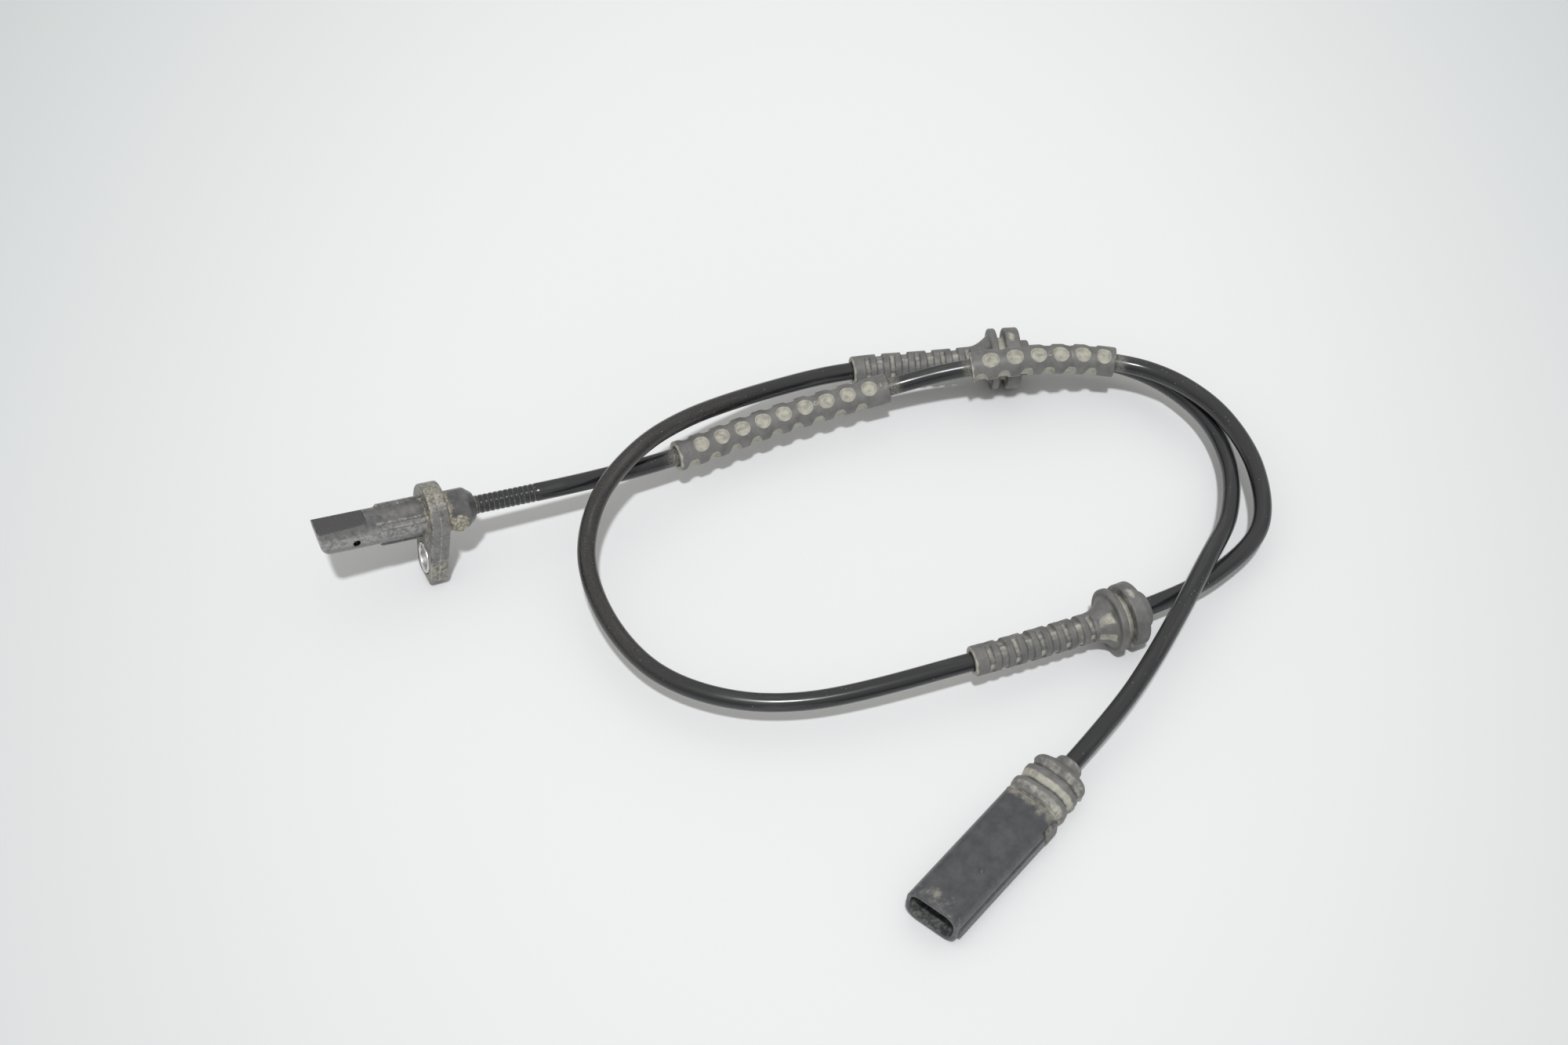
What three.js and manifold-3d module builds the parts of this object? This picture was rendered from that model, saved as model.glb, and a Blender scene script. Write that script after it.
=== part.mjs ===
// Wheel speed sensor with its lead: a plastic sensor head with a steel bush, a long rubber-jacketed
// cable, two dimpled rubber sleeves, two ribbed grommets and an oval two-way connector.
// Millimetres, +Z up. The head stands on the end of its ear at the origin, its nose towards -X,
// and the lead lies in one and a half loops beside it on the floor.

import * as THREE from 'three';
import { mergeVertices } from 'three/addons/utils/BufferGeometryUtils.js';
import Module from 'manifold-3d';

const wasm = await Module();
wasm.setup();

// Fits
const seatGap = 0.3;
const wall = 1.3;

// Sensor head, along its own axis: x = 0 is the flange's seat, the tip lies towards -x
const headPitch = 8;
const noseRadius = 5;
const noseLength = 29.8;
const tipSlant = 12;
const tipChamfer = 2.4;
const flatAngle = 95;
const flatAtTip = 3.75;
const flatAtStep = 4.2;
const flatLength = 13.5;
const dimpleHoleRadius = 1;
const dimpleHoleDepth = 1.4;
const dimpleHoleX = -19.5;
const ribCount = 4;
const ribAngle = 38;
const ribLength = 13.5;
const ribWidth = 1.5;
const ribHeight = 0.7;
const flangeThickness = 5.2;
const flangeRadius = 8.7;
const flangeEdge = 0.35;
const earAngle = -79;
const bushOffset = 14.1;
const earEndMargin = 1.15;
const earSideMargin = 1.5;
const earFlatWidth = 6.5;
const bushRadius = 4.3;
const bushBoreRadius = 3.35;
const bushProud = 0.2;
const bushSlit = 0.5;
const bodyRadius = 5.5;
const bodyLength = 8.8;
const bodyChamfer = 2.2;
const bossX = 8.8;
const bossRadius = 2.3;
const bossReach = 6.4;

// Inside the head: the flat's direction is up here
const hollowFrontWall = 4;
const hollowHalfWidth = 2.9;
const hollowTop = 2.6;
const hollowBottom = -3;
const cableSeatDepth = 10.2;
const carrierLength = 20.2;
const carrierTop = 0.6;
const shelfLength = 5;
const shelfTop = -1.2;
const chipLength = 5;
const chipWidth = 4.2;
const chipThickness = 1;
const magnetLength = 4;
const magnetWidth = 3.2;
const magnetHeight = 1.6;
const magnetInset = 0.5;
const stripThickness = 0.3;
const stripWidth = 0.9;
const capacitorLength = 2.6;
const capacitorThickness = 0.7;
const capacitorAlong = 7;
const crimpRadius = 0.95;
const crimpLength = 3.4;

// Lead
const cableRadius = 2.5;
const coreRadius = 0.8;
const coreOffset = 1.15;
const conductorRadius = 0.35;
const cableSides = 10;
const cableSteps = 76;
const bendStep = 9;

// Dimpled sleeves
const sleeveRadius = 4.25;
const sleeveMouthDepth = 1.6;
const sleeveMouthRadius = 3.4;
const longSleeveLength = 64.2;
const longSleeveAlong = 69;
const longSleeveDimples = 9;
const shortSleeveLength = 41.4;
const shortSleeveAlong = 157.5;
const shortSleeveDimples = 6;
const dimpleRows = 4;
const dimplePitch = 6.44;
const dimpleRadius = 2.1;
const dimpleDepth = 1;
const dimpleAngle = 69;
const longFirstDimple = 6.9;
const shortFirstDimple = 5.5;

// Ribbed grommets, from the small end
const grommetRadius = 4.1;
const grommetCollar = 3.6;
const grommetRibs = 4;
const grommetRing = 1.9;
const grommetWindow = 1.5;
const grommetWindowDepth = 0.45;
const grommetWebWidth = 0.9;
const grommetNotch = 1.9;
const grommetNotchDepth = 0.9;
const grommetConeLength = 5.6;
const grommetConeRadius = 7.4;
const grommetPocketWidth = 4.6;
const pocketFrontWall = 1.1;
const pocketRearWall = 0.6;
const discRadius = 8.8;
const frontDisc = 2;
const discGroove = 2.2;
const rearDisc = 4;
const discEdge = 0.6;
const neckLength = 3;
const neckRadius = 5;
const grommetTurn = 32;
const pocketAside = 30;
const outerGrommetAlong = 369.6;
const innerGrommetAlong = 607.6;

// Connector
const plugX = 121.9;
const plugY = -138;
const plugRestGap = 0.1;
const plugHeading = 208;
const shellLength = 41;
const shellWidth = 15.8;
const shellHeight = 9.8;
const shellRound = 4.1;
const railWidth = 0.6;
const railTop = 0.4;
const railBottom = -2.8;
const railEnd = 0.8;
const lugLength = 5;
const lugReach = 0.7;
const lugHeight = 5;
const pimpleRadius = 0.9;
const pimpleHeight = 0.3;
const pimpleAlong = 25.2;
const pimpleAside = 3.2;
const bootLength = 16.6;
const bootRibs = 3;
const bootRibLength = 4;
const bootRibWidth = 16.6;
const bootRibHeight = 11.4;
const bootRibLift = 0.5;
const bootRibShrink = 0.4;
const bootCoreWidth = 12.5;
const bootCoreHeight = 8;
const bootCollarRadius = 4.1;
const bootCollarLength = 2.2;
const bootPlugLength = 6;
const cableInPlug = 4.6;
const plugStraight = 5;
const holderFront = 22;
const holderLength = 6;
const pinSpacing = 5.2;
const pinRadius = 0.75;
const pinLength = 34;
const pinCrimpRadius = 1.3;
const pinCrimpLength = 3.4;

// Colours seen in daylight
const plastic = look(0x5f5f60, 0.55, 0);
const rubber = look(0x66666a, 0.8, 0);
const jacket = look(0x333438, 0.3, 0);
const shellPlastic = look(0x4f5155, 0.5, 0);
const steel = look(0xc8c8c4, 0.3, 1);
const copper = look(0xb87850, 0.35, 1);
const carrierPlastic = look(0x2c2d2f, 0.6, 0);
const chipResin = look(0x1d1e20, 0.5, 0);
const magnetCoat = look(0x8f9295, 0.35, 1);
const ceramic = look(0xb79a6c, 0.6, 0);
const coreBlack = look(0x222222, 0.5, 0);
const coreGrey = look(0xa8a8a8, 0.5, 0);

function look(color, roughness, metalness) {
  return new THREE.MeshStandardMaterial({ color, roughness, metalness });
}

// Booleans

function solid(geometry) {
  const bare = geometry.clone();
  bare.deleteAttribute('normal');
  bare.deleteAttribute('uv');
  const merged = mergeVertices(bare, 1e-4);
  const mesh = new wasm.Mesh({
    numProp: 3,
    vertProperties: new Float32Array(merged.attributes.position.array),
    triVerts: new Uint32Array(merged.index.array),
  });
  return new wasm.Manifold(mesh);
}

function surface(body) {
  const mesh = body.getMesh();
  const geometry = new THREE.BufferGeometry();
  geometry.setAttribute('position', new THREE.BufferAttribute(new Float32Array(mesh.vertProperties), 3));
  geometry.setIndex(new THREE.BufferAttribute(new Uint32Array(mesh.triVerts), 1));
  return geometry;
}

function joined(geometries) {
  return surface(geometries.map(solid).reduce((whole, piece) => whole.add(piece)));
}

function cut(geometry, tools) {
  return surface(tools.map(solid).reduce((rest, tool) => rest.subtract(tool), solid(geometry)));
}

// Shapes along x

// A turned solid: outline points are [x, radius], closed, with the material inside
function turned(outline, sides, step = Infinity) {
  const corners = outline.map(([x, radius]) => new THREE.Vector2(radius, x)).reverse();
  if (outline[0][1] > 0) corners.push(corners[0].clone());
  const points = [corners[0]];
  corners.slice(1).forEach((corner, index) => {
    const last = corners[index];
    const parts = Math.max(1, Math.round(Math.abs(corner.y - last.y) / step));
    for (let part = 1; part <= parts; part += 1) points.push(last.clone().lerp(corner, part / parts));
  });
  return new THREE.LatheGeometry(points, sides).rotateZ(-Math.PI / 2);
}

function rod(x0, x1, radius, sides, step) {
  return turned([[x1, 0], [x1, radius], [x0, radius], [x0, 0]], sides, step);
}

function block(x0, x1, y0, y1, z0, z1, step = Infinity) {
  const parts = Math.max(1, Math.round((x1 - x0) / step));
  const geometry = new THREE.BoxGeometry(x1 - x0, y1 - y0, z1 - z0, parts);
  return geometry.translate((x0 + x1) / 2, (y0 + y1) / 2, (z0 + z1) / 2);
}

// A section drawn in y and z, pushed along x
function extruded(shape, x0, x1, edge = 0, curveSegments = 6, steps = 1) {
  const geometry = new THREE.ExtrudeGeometry(shape, {
    depth: x1 - x0 - 2 * edge,
    curveSegments,
    steps,
    bevelEnabled: edge > 0,
    bevelThickness: edge,
    bevelSize: edge,
    bevelOffset: -edge,
    bevelSegments: 1,
  });
  const toAxis = new THREE.Matrix4().set(0, 0, 1, x0 + edge, 1, 0, 0, 0, 0, 1, 0, 0, 0, 0, 0, 1);
  return geometry.applyMatrix4(toAxis);
}

// An outline drawn in x and z, pushed along y to both sides
function profiled(points, halfWidth) {
  const shape = new THREE.Shape(points.map(([x, z]) => new THREE.Vector2(x, z)));
  const geometry = new THREE.ExtrudeGeometry(shape, { depth: 2 * halfWidth, bevelEnabled: false });
  return geometry.rotateX(Math.PI / 2).translate(0, halfWidth, 0);
}

function roundedSection(width, height, round) {
  const shape = new THREE.Shape();
  const w = width / 2 - round;
  const h = height / 2 - round;
  shape.absarc(w, h, round, 0, Math.PI / 2);
  shape.absarc(-w, h, round, Math.PI / 2, Math.PI);
  shape.absarc(-w, -h, round, Math.PI, Math.PI * 1.5);
  shape.absarc(w, -h, round, Math.PI * 1.5, Math.PI * 2);
  return shape;
}

// Angles round an axis start at the side that faces -Y and rise towards +Z
function turnTo(geometry, degrees) {
  return geometry.rotateX(THREE.MathUtils.degToRad(-degrees));
}

function upTo(geometry, degrees) {
  return turnTo(geometry, degrees - 90);
}

// Sensor head

const hollowFront = -noseLength + hollowFrontWall;
const bodyEnd = flangeThickness + bodyLength;
const cableSeat = bodyEnd - cableSeatDepth;
const boreRadius = cableRadius + seatGap;

function nose() {
  const slant = Math.tan(THREE.MathUtils.degToRad(tipSlant));
  const tipAt = (z) => -noseLength + (flatAtTip - z) * slant;
  const low = -noseRadius + tipChamfer;
  const beyond = noseRadius + 1;
  const tipCut = profiled([
    [tipAt(beyond), beyond],
    [-noseLength - beyond, beyond],
    [-noseLength - beyond, -beyond],
    [tipAt(low) + tipChamfer + 1, -beyond],
    [tipAt(low), low],
  ], beyond);
  const flatCut = profiled([
    [-noseLength - beyond, flatAtTip - (flatAtStep - flatAtTip) * (beyond / flatLength)],
    [-noseLength + flatLength, flatAtStep],
    [-noseLength + flatLength, beyond],
    [-noseLength - beyond, beyond],
  ], beyond);
  const hole = new THREE.CylinderGeometry(dimpleHoleRadius, dimpleHoleRadius, 2 * dimpleHoleDepth, 10);
  hole.translate(dimpleHoleX, -noseRadius, 0);
  const tools = [upTo(tipCut, flatAngle), upTo(flatCut, flatAngle), hole];
  return cut(rod(-noseLength - 1, seatGap, noseRadius, 36), tools);
}

function crushRib(index) {
  const top = noseRadius + ribHeight;
  const root = noseRadius - ribHeight;
  const outline = [
    [seatGap, root],
    [seatGap, top],
    [-ribLength + 2 * ribHeight, top],
    [-ribLength, root],
  ];
  return upTo(profiled(outline, ribWidth / 2), ribAngle + index * (360 / ribCount));
}

const bushHoleRadius = bushRadius + seatGap;
const earHalfWidth = bushHoleRadius + earSideMargin;
const earEnd = bushOffset + bushHoleRadius + earEndMargin;

function flangeShape() {
  const reach = Math.hypot(earHalfWidth, bushOffset);
  const side = Math.atan2(-bushOffset, earHalfWidth) + Math.acos(flangeRadius / reach);
  const half = earFlatWidth / 2;
  const shape = new THREE.Shape();
  shape.moveTo(-half, -earEnd);
  shape.lineTo(half, -earEnd);
  shape.quadraticCurveTo(earHalfWidth, -earEnd, earHalfWidth, -bushOffset);
  shape.absarc(0, 0, flangeRadius, side, Math.PI - side);
  shape.lineTo(-earHalfWidth, -bushOffset);
  shape.quadraticCurveTo(-earHalfWidth, -earEnd, -half, -earEnd);
  return shape;
}

function alongEar(geometry) {
  return geometry.translate(0, 0, -bushOffset);
}

function towardsEar(geometry) {
  return turnTo(geometry, earAngle + 90);
}

function rearBody() {
  const inner = bodyRadius - bodyChamfer * 0.8;
  const barrel = turned([
    [bodyEnd, 0],
    [bodyEnd, inner],
    [bodyEnd - bodyChamfer, bodyRadius],
    [flangeThickness - seatGap, bodyRadius],
    [flangeThickness - seatGap, 0],
  ], 28);
  const boss = new THREE.CylinderGeometry(bossRadius, bossRadius, bossReach, 16);
  boss.translate(bossX, -bossReach / 2, 0);
  return joined([barrel, boss]);
}

function housing() {
  const flange = extruded(flangeShape(), 0, flangeThickness, flangeEdge, 14);
  const ribs = Array.from({ length: ribCount }, (unused, index) => crushRib(index));
  const body = joined([nose(), towardsEar(flange), rearBody(), ...ribs]);
  const bushHole = alongEar(rod(-1, flangeThickness + 1, bushHoleRadius, 32));
  const hollow = block(hollowFront, cableSeat, -hollowHalfWidth, hollowHalfWidth, hollowBottom, hollowTop);
  const bore = rod(cableSeat - 1, bodyEnd + 1, boreRadius, 20);
  return cut(body, [towardsEar(bushHole), upTo(hollow, flatAngle), bore]);
}

function bush() {
  const x0 = -bushProud;
  const x1 = flangeThickness + bushProud;
  const ring = turned([
    [x1, bushBoreRadius],
    [x1, bushRadius],
    [x0, bushRadius],
    [x0, bushBoreRadius],
  ], 32);
  const slit = block(x0 - 1, x1 + 1, -bushSlit / 2, bushSlit / 2, bushBoreRadius - 1, bushRadius + 1);
  return towardsEar(alongEar(cut(ring, [slit])));
}

// Electronics on their carrier, all with the flat's direction as up

const carrierFront = hollowFront + seatGap;
const carrierRear = carrierFront + carrierLength;
const carrierBottom = hollowBottom + seatGap;
const carrierHalfWidth = hollowHalfWidth - seatGap;
const shelfFront = carrierRear - shelfLength;
const magnetFront = carrierFront + magnetInset + seatGap;
const magnetTop = carrierTop - seatGap;
const chipRear = carrierFront + chipLength;
const stripFront = chipRear + seatGap;
const crimpFront = shelfFront + 2 * seatGap;
const crimpRear = crimpFront + crimpLength;
const crimpAxis = shelfTop + seatGap + crimpRadius;
const stripBottom = carrierTop + seatGap;
const stripTop = stripBottom + stripThickness;

function carrier() {
  const slab = block(carrierFront, carrierRear, -carrierHalfWidth, carrierHalfWidth, carrierBottom, carrierTop);
  const shelf = block(shelfFront, carrierRear + 1, -hollowHalfWidth, hollowHalfWidth, shelfTop, hollowTop);
  const pocket = block(
    magnetFront - seatGap,
    magnetFront + magnetLength + seatGap,
    -magnetWidth / 2 - seatGap,
    magnetWidth / 2 + seatGap,
    magnetTop - magnetHeight - seatGap,
    hollowTop,
  );
  return cut(slab, [shelf, pocket]);
}

function magnet() {
  const half = magnetWidth / 2;
  return block(magnetFront, magnetFront + magnetLength, -half, half, magnetTop - magnetHeight, magnetTop);
}

function chip() {
  const half = chipWidth / 2;
  const base = carrierTop + seatGap;
  return profiled([
    [carrierFront, base],
    [chipRear, base],
    [chipRear, base + chipThickness],
    [carrierFront + chipThickness / 4, base + chipThickness],
  ], half);
}

function leadStrip(side) {
  const middle = side * coreOffset;
  const half = stripWidth / 2;
  return block(stripFront, shelfFront - seatGap, middle - half, middle + half, stripBottom, stripTop);
}

function capacitor() {
  const x0 = stripFront + capacitorAlong;
  const half = coreOffset + stripWidth / 2;
  const base = stripTop + seatGap;
  return block(x0, x0 + capacitorLength, -half, half, base, base + capacitorThickness);
}

function crimp(side) {
  const bore = conductorRadius + seatGap;
  const barrel = turned([
    [crimpRear, bore],
    [crimpRear, crimpRadius],
    [crimpFront, crimpRadius],
    [crimpFront, bore],
  ], 12);
  return barrel.translate(0, side * coreOffset, crimpAxis);
}

function headCore(side) {
  const shoulder = crimpRear + seatGap;
  const wire = turned([
    [cableSeat - seatGap, 0],
    [cableSeat - seatGap, coreRadius],
    [shoulder, coreRadius],
    [shoulder, conductorRadius],
    [crimpFront + seatGap, conductorRadius],
    [crimpFront + seatGap, 0],
  ], 10);
  return wire.translate(0, side * coreOffset, crimpAxis);
}

function inHead(name, geometry, material) {
  const mesh = new THREE.Mesh(geometry, material);
  mesh.name = name;
  return mesh;
}

function sensorHead() {
  const head = new THREE.Group();
  const outside = housing();
  head.add(inHead('sensor_housing', outside, plastic));
  head.add(inHead('bolt_bush', bush(), steel));
  const inside = (name, geometry, material) => head.add(inHead(name, upTo(geometry, flatAngle), material));
  inside('insert_carrier', carrier(), carrierPlastic);
  inside('sensing_chip', chip(), chipResin);
  inside('bias_magnet', magnet(), magnetCoat);
  inside('filter_capacitor', capacitor(), ceramic);
  inside('lead_strip_a', leadStrip(-1), copper);
  inside('lead_strip_b', leadStrip(1), copper);
  inside('core_crimp_a', crimp(-1), copper);
  inside('core_crimp_b', crimp(1), copper);
  inside('head_core_a', headCore(-1), coreBlack);
  inside('head_core_b', headCore(1), coreGrey);
  head.rotation.y = THREE.MathUtils.degToRad(headPitch);
  head.updateMatrix();
  const standing = outside.clone().applyMatrix4(head.matrix);
  standing.computeBoundingBox();
  const middle = standing.boundingBox.getCenter(new THREE.Vector3());
  head.position.set(-middle.x, -middle.y, -standing.boundingBox.min.z);
  head.updateMatrixWorld(true);
  return head;
}

const head = sensorHead();

// The lead's route, chosen point by point, from inside the head to inside the connector

const plugRear = new THREE.Vector3(plugX, plugY, bootRibHeight / 2 - bootRibLift + plugRestGap);
const plugDirection = new THREE.Vector3(1, 0, 0).applyAxisAngle(
  new THREE.Vector3(0, 0, 1),
  THREE.MathUtils.degToRad(plugHeading),
);
const inPlug = (along) => plugRear.clone().addScaledVector(plugDirection, along);
const inLine = (x) => head.localToWorld(new THREE.Vector3(x, 0, 0));

const freeRoute = [
  [55.5, -0.7, 15.2],
  [79.9, 0.3, 12.9],
  [110.5, 2.7, 12.3],
  [144.1, 1.2, 13.4],
  [160.5, -2.1, 16.3],
  [177.5, -6.9, 18.2],
  [190.5, -9.8, 17],
  [203, -13.6, 14.9],
  [213.7, -20.2, 13.7],
  [221.4, -30.4, 13.4],
  [226.3, -44.4, 12.7],
  [226.1, -63.4, 11],
  [218.3, -80.6, 8.8],
  [200.5, -89.8, 7.9],
  [174.5, -93.9, 8.9],
  [125.1, -94.2, 11.5],
  [80.5, -88.4, 10.3],
  [61, -78.6, 10.2],
  [48.3, -64, 10.5],
  [42.9, -42.9, 11.3],
  [45.1, -22.9, 13.6],
  [53.7, -10.4, 19],
  [67.5, -1.4, 22],
  [84.5, 6.2, 20],
  [120.5, 15.2, 10.8],
  [138.5, 14.8, 8.9],
  [161, 8.4, 8.9],
  [183.5, 1.8, 8.9],
  [202.5, -5, 7.9],
  [216.7, -18, 7.5],
  [223.9, -36.9, 7.4],
  [222.1, -55.4, 7.8],
  [212.3, -73.9, 10.2],
  [197, -89, 13.9],
  [160.5, -118, 11.3],
].map(([x, y, z]) => new THREE.Vector3(x, y, z));

const routePoints = [
  inLine(cableSeat),
  inLine(bodyEnd + seatGap),
  ...freeRoute,
  inPlug(-plugStraight),
  plugRear,
  inPlug(cableInPlug),
];
const route = new THREE.CatmullRomCurve3(routePoints, false, 'centripetal');
route.arcLengthDivisions = 1600;
const routeLength = route.getLength();
const plugAlong = routeLength - cableInPlug;

function cableTube() {
  const section = new THREE.Shape();
  section.absarc(0, 0, cableRadius, 0, Math.PI * 2);
  return new THREE.ExtrudeGeometry(section, {
    curveSegments: cableSides / 2,
    steps: cableSteps,
    extrudePath: route,
  });
}

// Lays a straight piece along the route from a start, forwards (1) or backwards (-1)
function laidOnRoute(geometry, start, direction) {
  const position = geometry.attributes.position;
  const up = new THREE.Vector3(0, 0, 1);
  for (let index = 0; index < position.count; index += 1) {
    const along = start + direction * position.getX(index);
    const share = Math.min(Math.max(along / routeLength, 0), 1);
    const ahead = route.getTangentAt(share);
    const left = up.clone().cross(ahead).normalize();
    const above = ahead.clone().cross(left);
    const at = route.getPointAt(share);
    at.addScaledVector(left, direction * position.getY(index));
    at.addScaledVector(above, position.getZ(index));
    position.setXYZ(index, at.x, at.y, at.z);
  }
  return geometry;
}

// Dimpled sleeves

function dimpleRow(row, first, count) {
  const stagger = -(row % 2) * (dimplePitch / 2);
  return Array.from({ length: count }, (unused, index) => {
    const tool = new THREE.CylinderGeometry(dimpleRadius, dimpleRadius * 0.75, dimpleDepth + 1, 6);
    tool.translate(first + stagger + index * dimplePitch, -sleeveRadius - 1 + (dimpleDepth + 1) / 2, 0);
    return turnTo(tool, dimpleAngle + row * (360 / dimpleRows));
  });
}

function sleeve(length, first, count, start) {
  const edge = 0.5;
  const body = turned([
    [length, boreRadius],
    [length, sleeveRadius - edge],
    [length - edge, sleeveRadius],
    [edge, sleeveRadius],
    [0, sleeveRadius - edge],
    [0, sleeveMouthRadius],
    [sleeveMouthDepth, boreRadius],
  ], 16, bendStep);
  const rows = Array.from({ length: dimpleRows }, (unused, row) => dimpleRow(row, first, count));
  const laid = (geometry) => laidOnRoute(geometry, start, 1);
  return cut(laid(body), rows.flat().map(laid));
}

// Ribbed grommet

const ribZone = grommetRibs * (grommetWindow + grommetNotch + 2 * grommetRing) + grommetWindow;
const coneStart = grommetCollar + ribZone;
const discStart = coneStart + grommetConeLength;
const grooveStart = discStart + frontDisc;
const rearStart = grooveStart + discGroove;
const neckStart = rearStart + rearDisc;
const grommetLength = neckStart + neckLength;

function ribOutline() {
  const low = grommetRadius - grommetWindowDepth;
  const outline = [[0, grommetRadius - discEdge], [discEdge, grommetRadius]];
  let x = grommetCollar;
  const window = () => {
    outline.push([x, grommetRadius], [x, low], [x + grommetWindow, low], [x + grommetWindow, grommetRadius]);
    x += grommetWindow;
  };
  for (let rib = 0; rib < grommetRibs; rib += 1) {
    window();
    x += 2 * grommetRing + grommetNotch;
  }
  window();
  return outline;
}

function notchTools() {
  const tools = [];
  for (let rib = 0; rib < grommetRibs; rib += 1) {
    const period = grommetWindow + grommetNotch + 2 * grommetRing;
    const x0 = grommetCollar + rib * period + grommetWindow + grommetRing;
    const floor = grommetRadius - grommetNotchDepth;
    for (const side of [-1, 1]) {
      const tool = block(x0, x0 + grommetNotch, -grommetRadius, grommetRadius, floor, grommetRadius + 1);
      tools.push(upTo(tool, grommetTurn + 90 * side));
    }
  }
  return tools;
}

function windowWebs() {
  const end = coneStart + seatGap;
  return [-1, 1].map((side) => {
    const inner = side * (grommetRadius - grommetWindowDepth - seatGap);
    const outer = side * (grommetRadius - grommetWindowDepth / 4);
    const half = grommetWebWidth / 2;
    const y0 = Math.min(inner, outer);
    const y1 = Math.max(inner, outer);
    return turnTo(block(grommetCollar - seatGap, end, y0, y1, -half, half, bendStep), grommetTurn);
  });
}

function conePockets() {
  const asides = [-pocketAside, pocketAside, 180 - pocketAside, 180 + pocketAside];
  return asides.map((angle) => {
    const half = grommetPocketWidth / 2;
    const x0 = coneStart + pocketFrontWall;
    const tool = block(x0, discStart - pocketRearWall, -half, half, grommetRadius - 0.1, discRadius);
    return upTo(tool, grommetTurn + angle);
  });
}

function grommet(start, direction) {
  const outline = [
    ...ribOutline(),
    [discStart, grommetConeRadius],
    [discStart, discRadius - discEdge],
    [discStart + discEdge, discRadius],
    [grooveStart - discEdge, discRadius],
    [grooveStart, discRadius - discEdge],
    [grooveStart, neckRadius + 1],
    [rearStart, neckRadius + 1],
    [rearStart, discRadius - discEdge],
    [rearStart + discEdge, discRadius],
    [neckStart - discEdge, discRadius],
    [neckStart, discRadius - discEdge],
    [neckStart, neckRadius],
    [grommetLength, neckRadius],
    [grommetLength, boreRadius],
    [0, boreRadius],
  ].reverse();
  const laid = (geometry) => laidOnRoute(geometry, start, direction);
  const body = joined([turned(outline, 14, bendStep), ...windowWebs()].map(laid));
  return cut(body, [...notchTools(), ...conePockets()].map(laid));
}

// Connector: x runs from its rear face to its mouth

const mouthWidth = shellWidth - 2 * wall;
const mouthHeight = shellHeight - 2 * wall;
const mouthRound = shellRound - wall;

function shell() {
  const tube = extruded(roundedSection(shellWidth, shellHeight, shellRound), 0, shellLength, 0.4, 3);
  const sideIn = shellWidth / 2 - wall / 2;
  const railOut = shellWidth / 2 + railWidth;
  const rail = block(lugLength - 1, shellLength - railEnd, sideIn, railOut, railBottom, railTop);
  const lug = block(0, lugLength, sideIn, shellWidth / 2 + lugReach, -lugHeight / 2, lugHeight / 2);
  const pimple = new THREE.CylinderGeometry(pimpleRadius * 0.7, pimpleRadius, 1, 12);
  pimple.rotateX(Math.PI / 2).translate(pimpleAlong, pimpleAside, shellHeight / 2 + pimpleHeight - 0.5);
  const socket = extruded(roundedSection(mouthWidth, mouthHeight, mouthRound), -1, shellLength + 1, 0, 3);
  return cut(joined([tube, rail, lug, pimple]), [socket]);
}

const innerWidth = mouthWidth - 2 * seatGap;
const innerHeight = mouthHeight - 2 * seatGap;
const innerRound = mouthRound - seatGap;

function pinHolder() {
  const section = roundedSection(innerWidth, innerHeight, innerRound);
  const body = extruded(section, holderFront - holderLength, holderFront, 0, 3);
  const holes = [-1, 1].map((side) => {
    const hole = rod(holderFront - holderLength - 1, holderFront + 1, pinRadius + seatGap, 12);
    return hole.translate(0, side * pinSpacing / 2, 0);
  });
  return cut(body, holes);
}

const pinCrimpRear = holderFront - holderLength - seatGap - pinCrimpLength;

function pin(side) {
  const bore = conductorRadius + seatGap;
  const depth = pinCrimpLength - 1;
  const blade = turned([
    [pinLength, 0],
    [pinLength - 0.8, pinRadius],
    [pinCrimpRear + pinCrimpLength, pinRadius],
    [pinCrimpRear + pinCrimpLength, pinCrimpRadius],
    [pinCrimpRear, pinCrimpRadius],
    [pinCrimpRear, bore],
    [pinCrimpRear + depth, bore],
    [pinCrimpRear + depth, 0],
  ], 12);
  return blade.translate(0, side * pinSpacing / 2, 0);
}

function plugCore(side) {
  const start = new THREE.Vector3(cableInPlug + seatGap, side * coreOffset, 0);
  const end = new THREE.Vector3(pinCrimpRear - seatGap, side * pinSpacing / 2, 0);
  const bend = (end.x - start.x) / 2;
  const path = new THREE.CubicBezierCurve3(
    start,
    start.clone().add(new THREE.Vector3(bend, 0, 0)),
    end.clone().sub(new THREE.Vector3(bend, 0, 0)),
    end,
  );
  const section = new THREE.Shape();
  section.absarc(0, 0, coreRadius, 0, Math.PI * 2);
  const wire = new THREE.ExtrudeGeometry(section, { curveSegments: 4, steps: 4, extrudePath: path });
  const depth = pinCrimpLength - 1 - seatGap;
  const conductor = rod(end.x - 2 * seatGap, pinCrimpRear + depth, conductorRadius, 8);
  return joined([wire, conductor.translate(0, end.y, 0)]);
}

const connector = new THREE.Group();
connector.position.copy(plugRear);
connector.rotation.z = THREE.MathUtils.degToRad(plugHeading);
connector.updateMatrixWorld(true);

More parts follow.
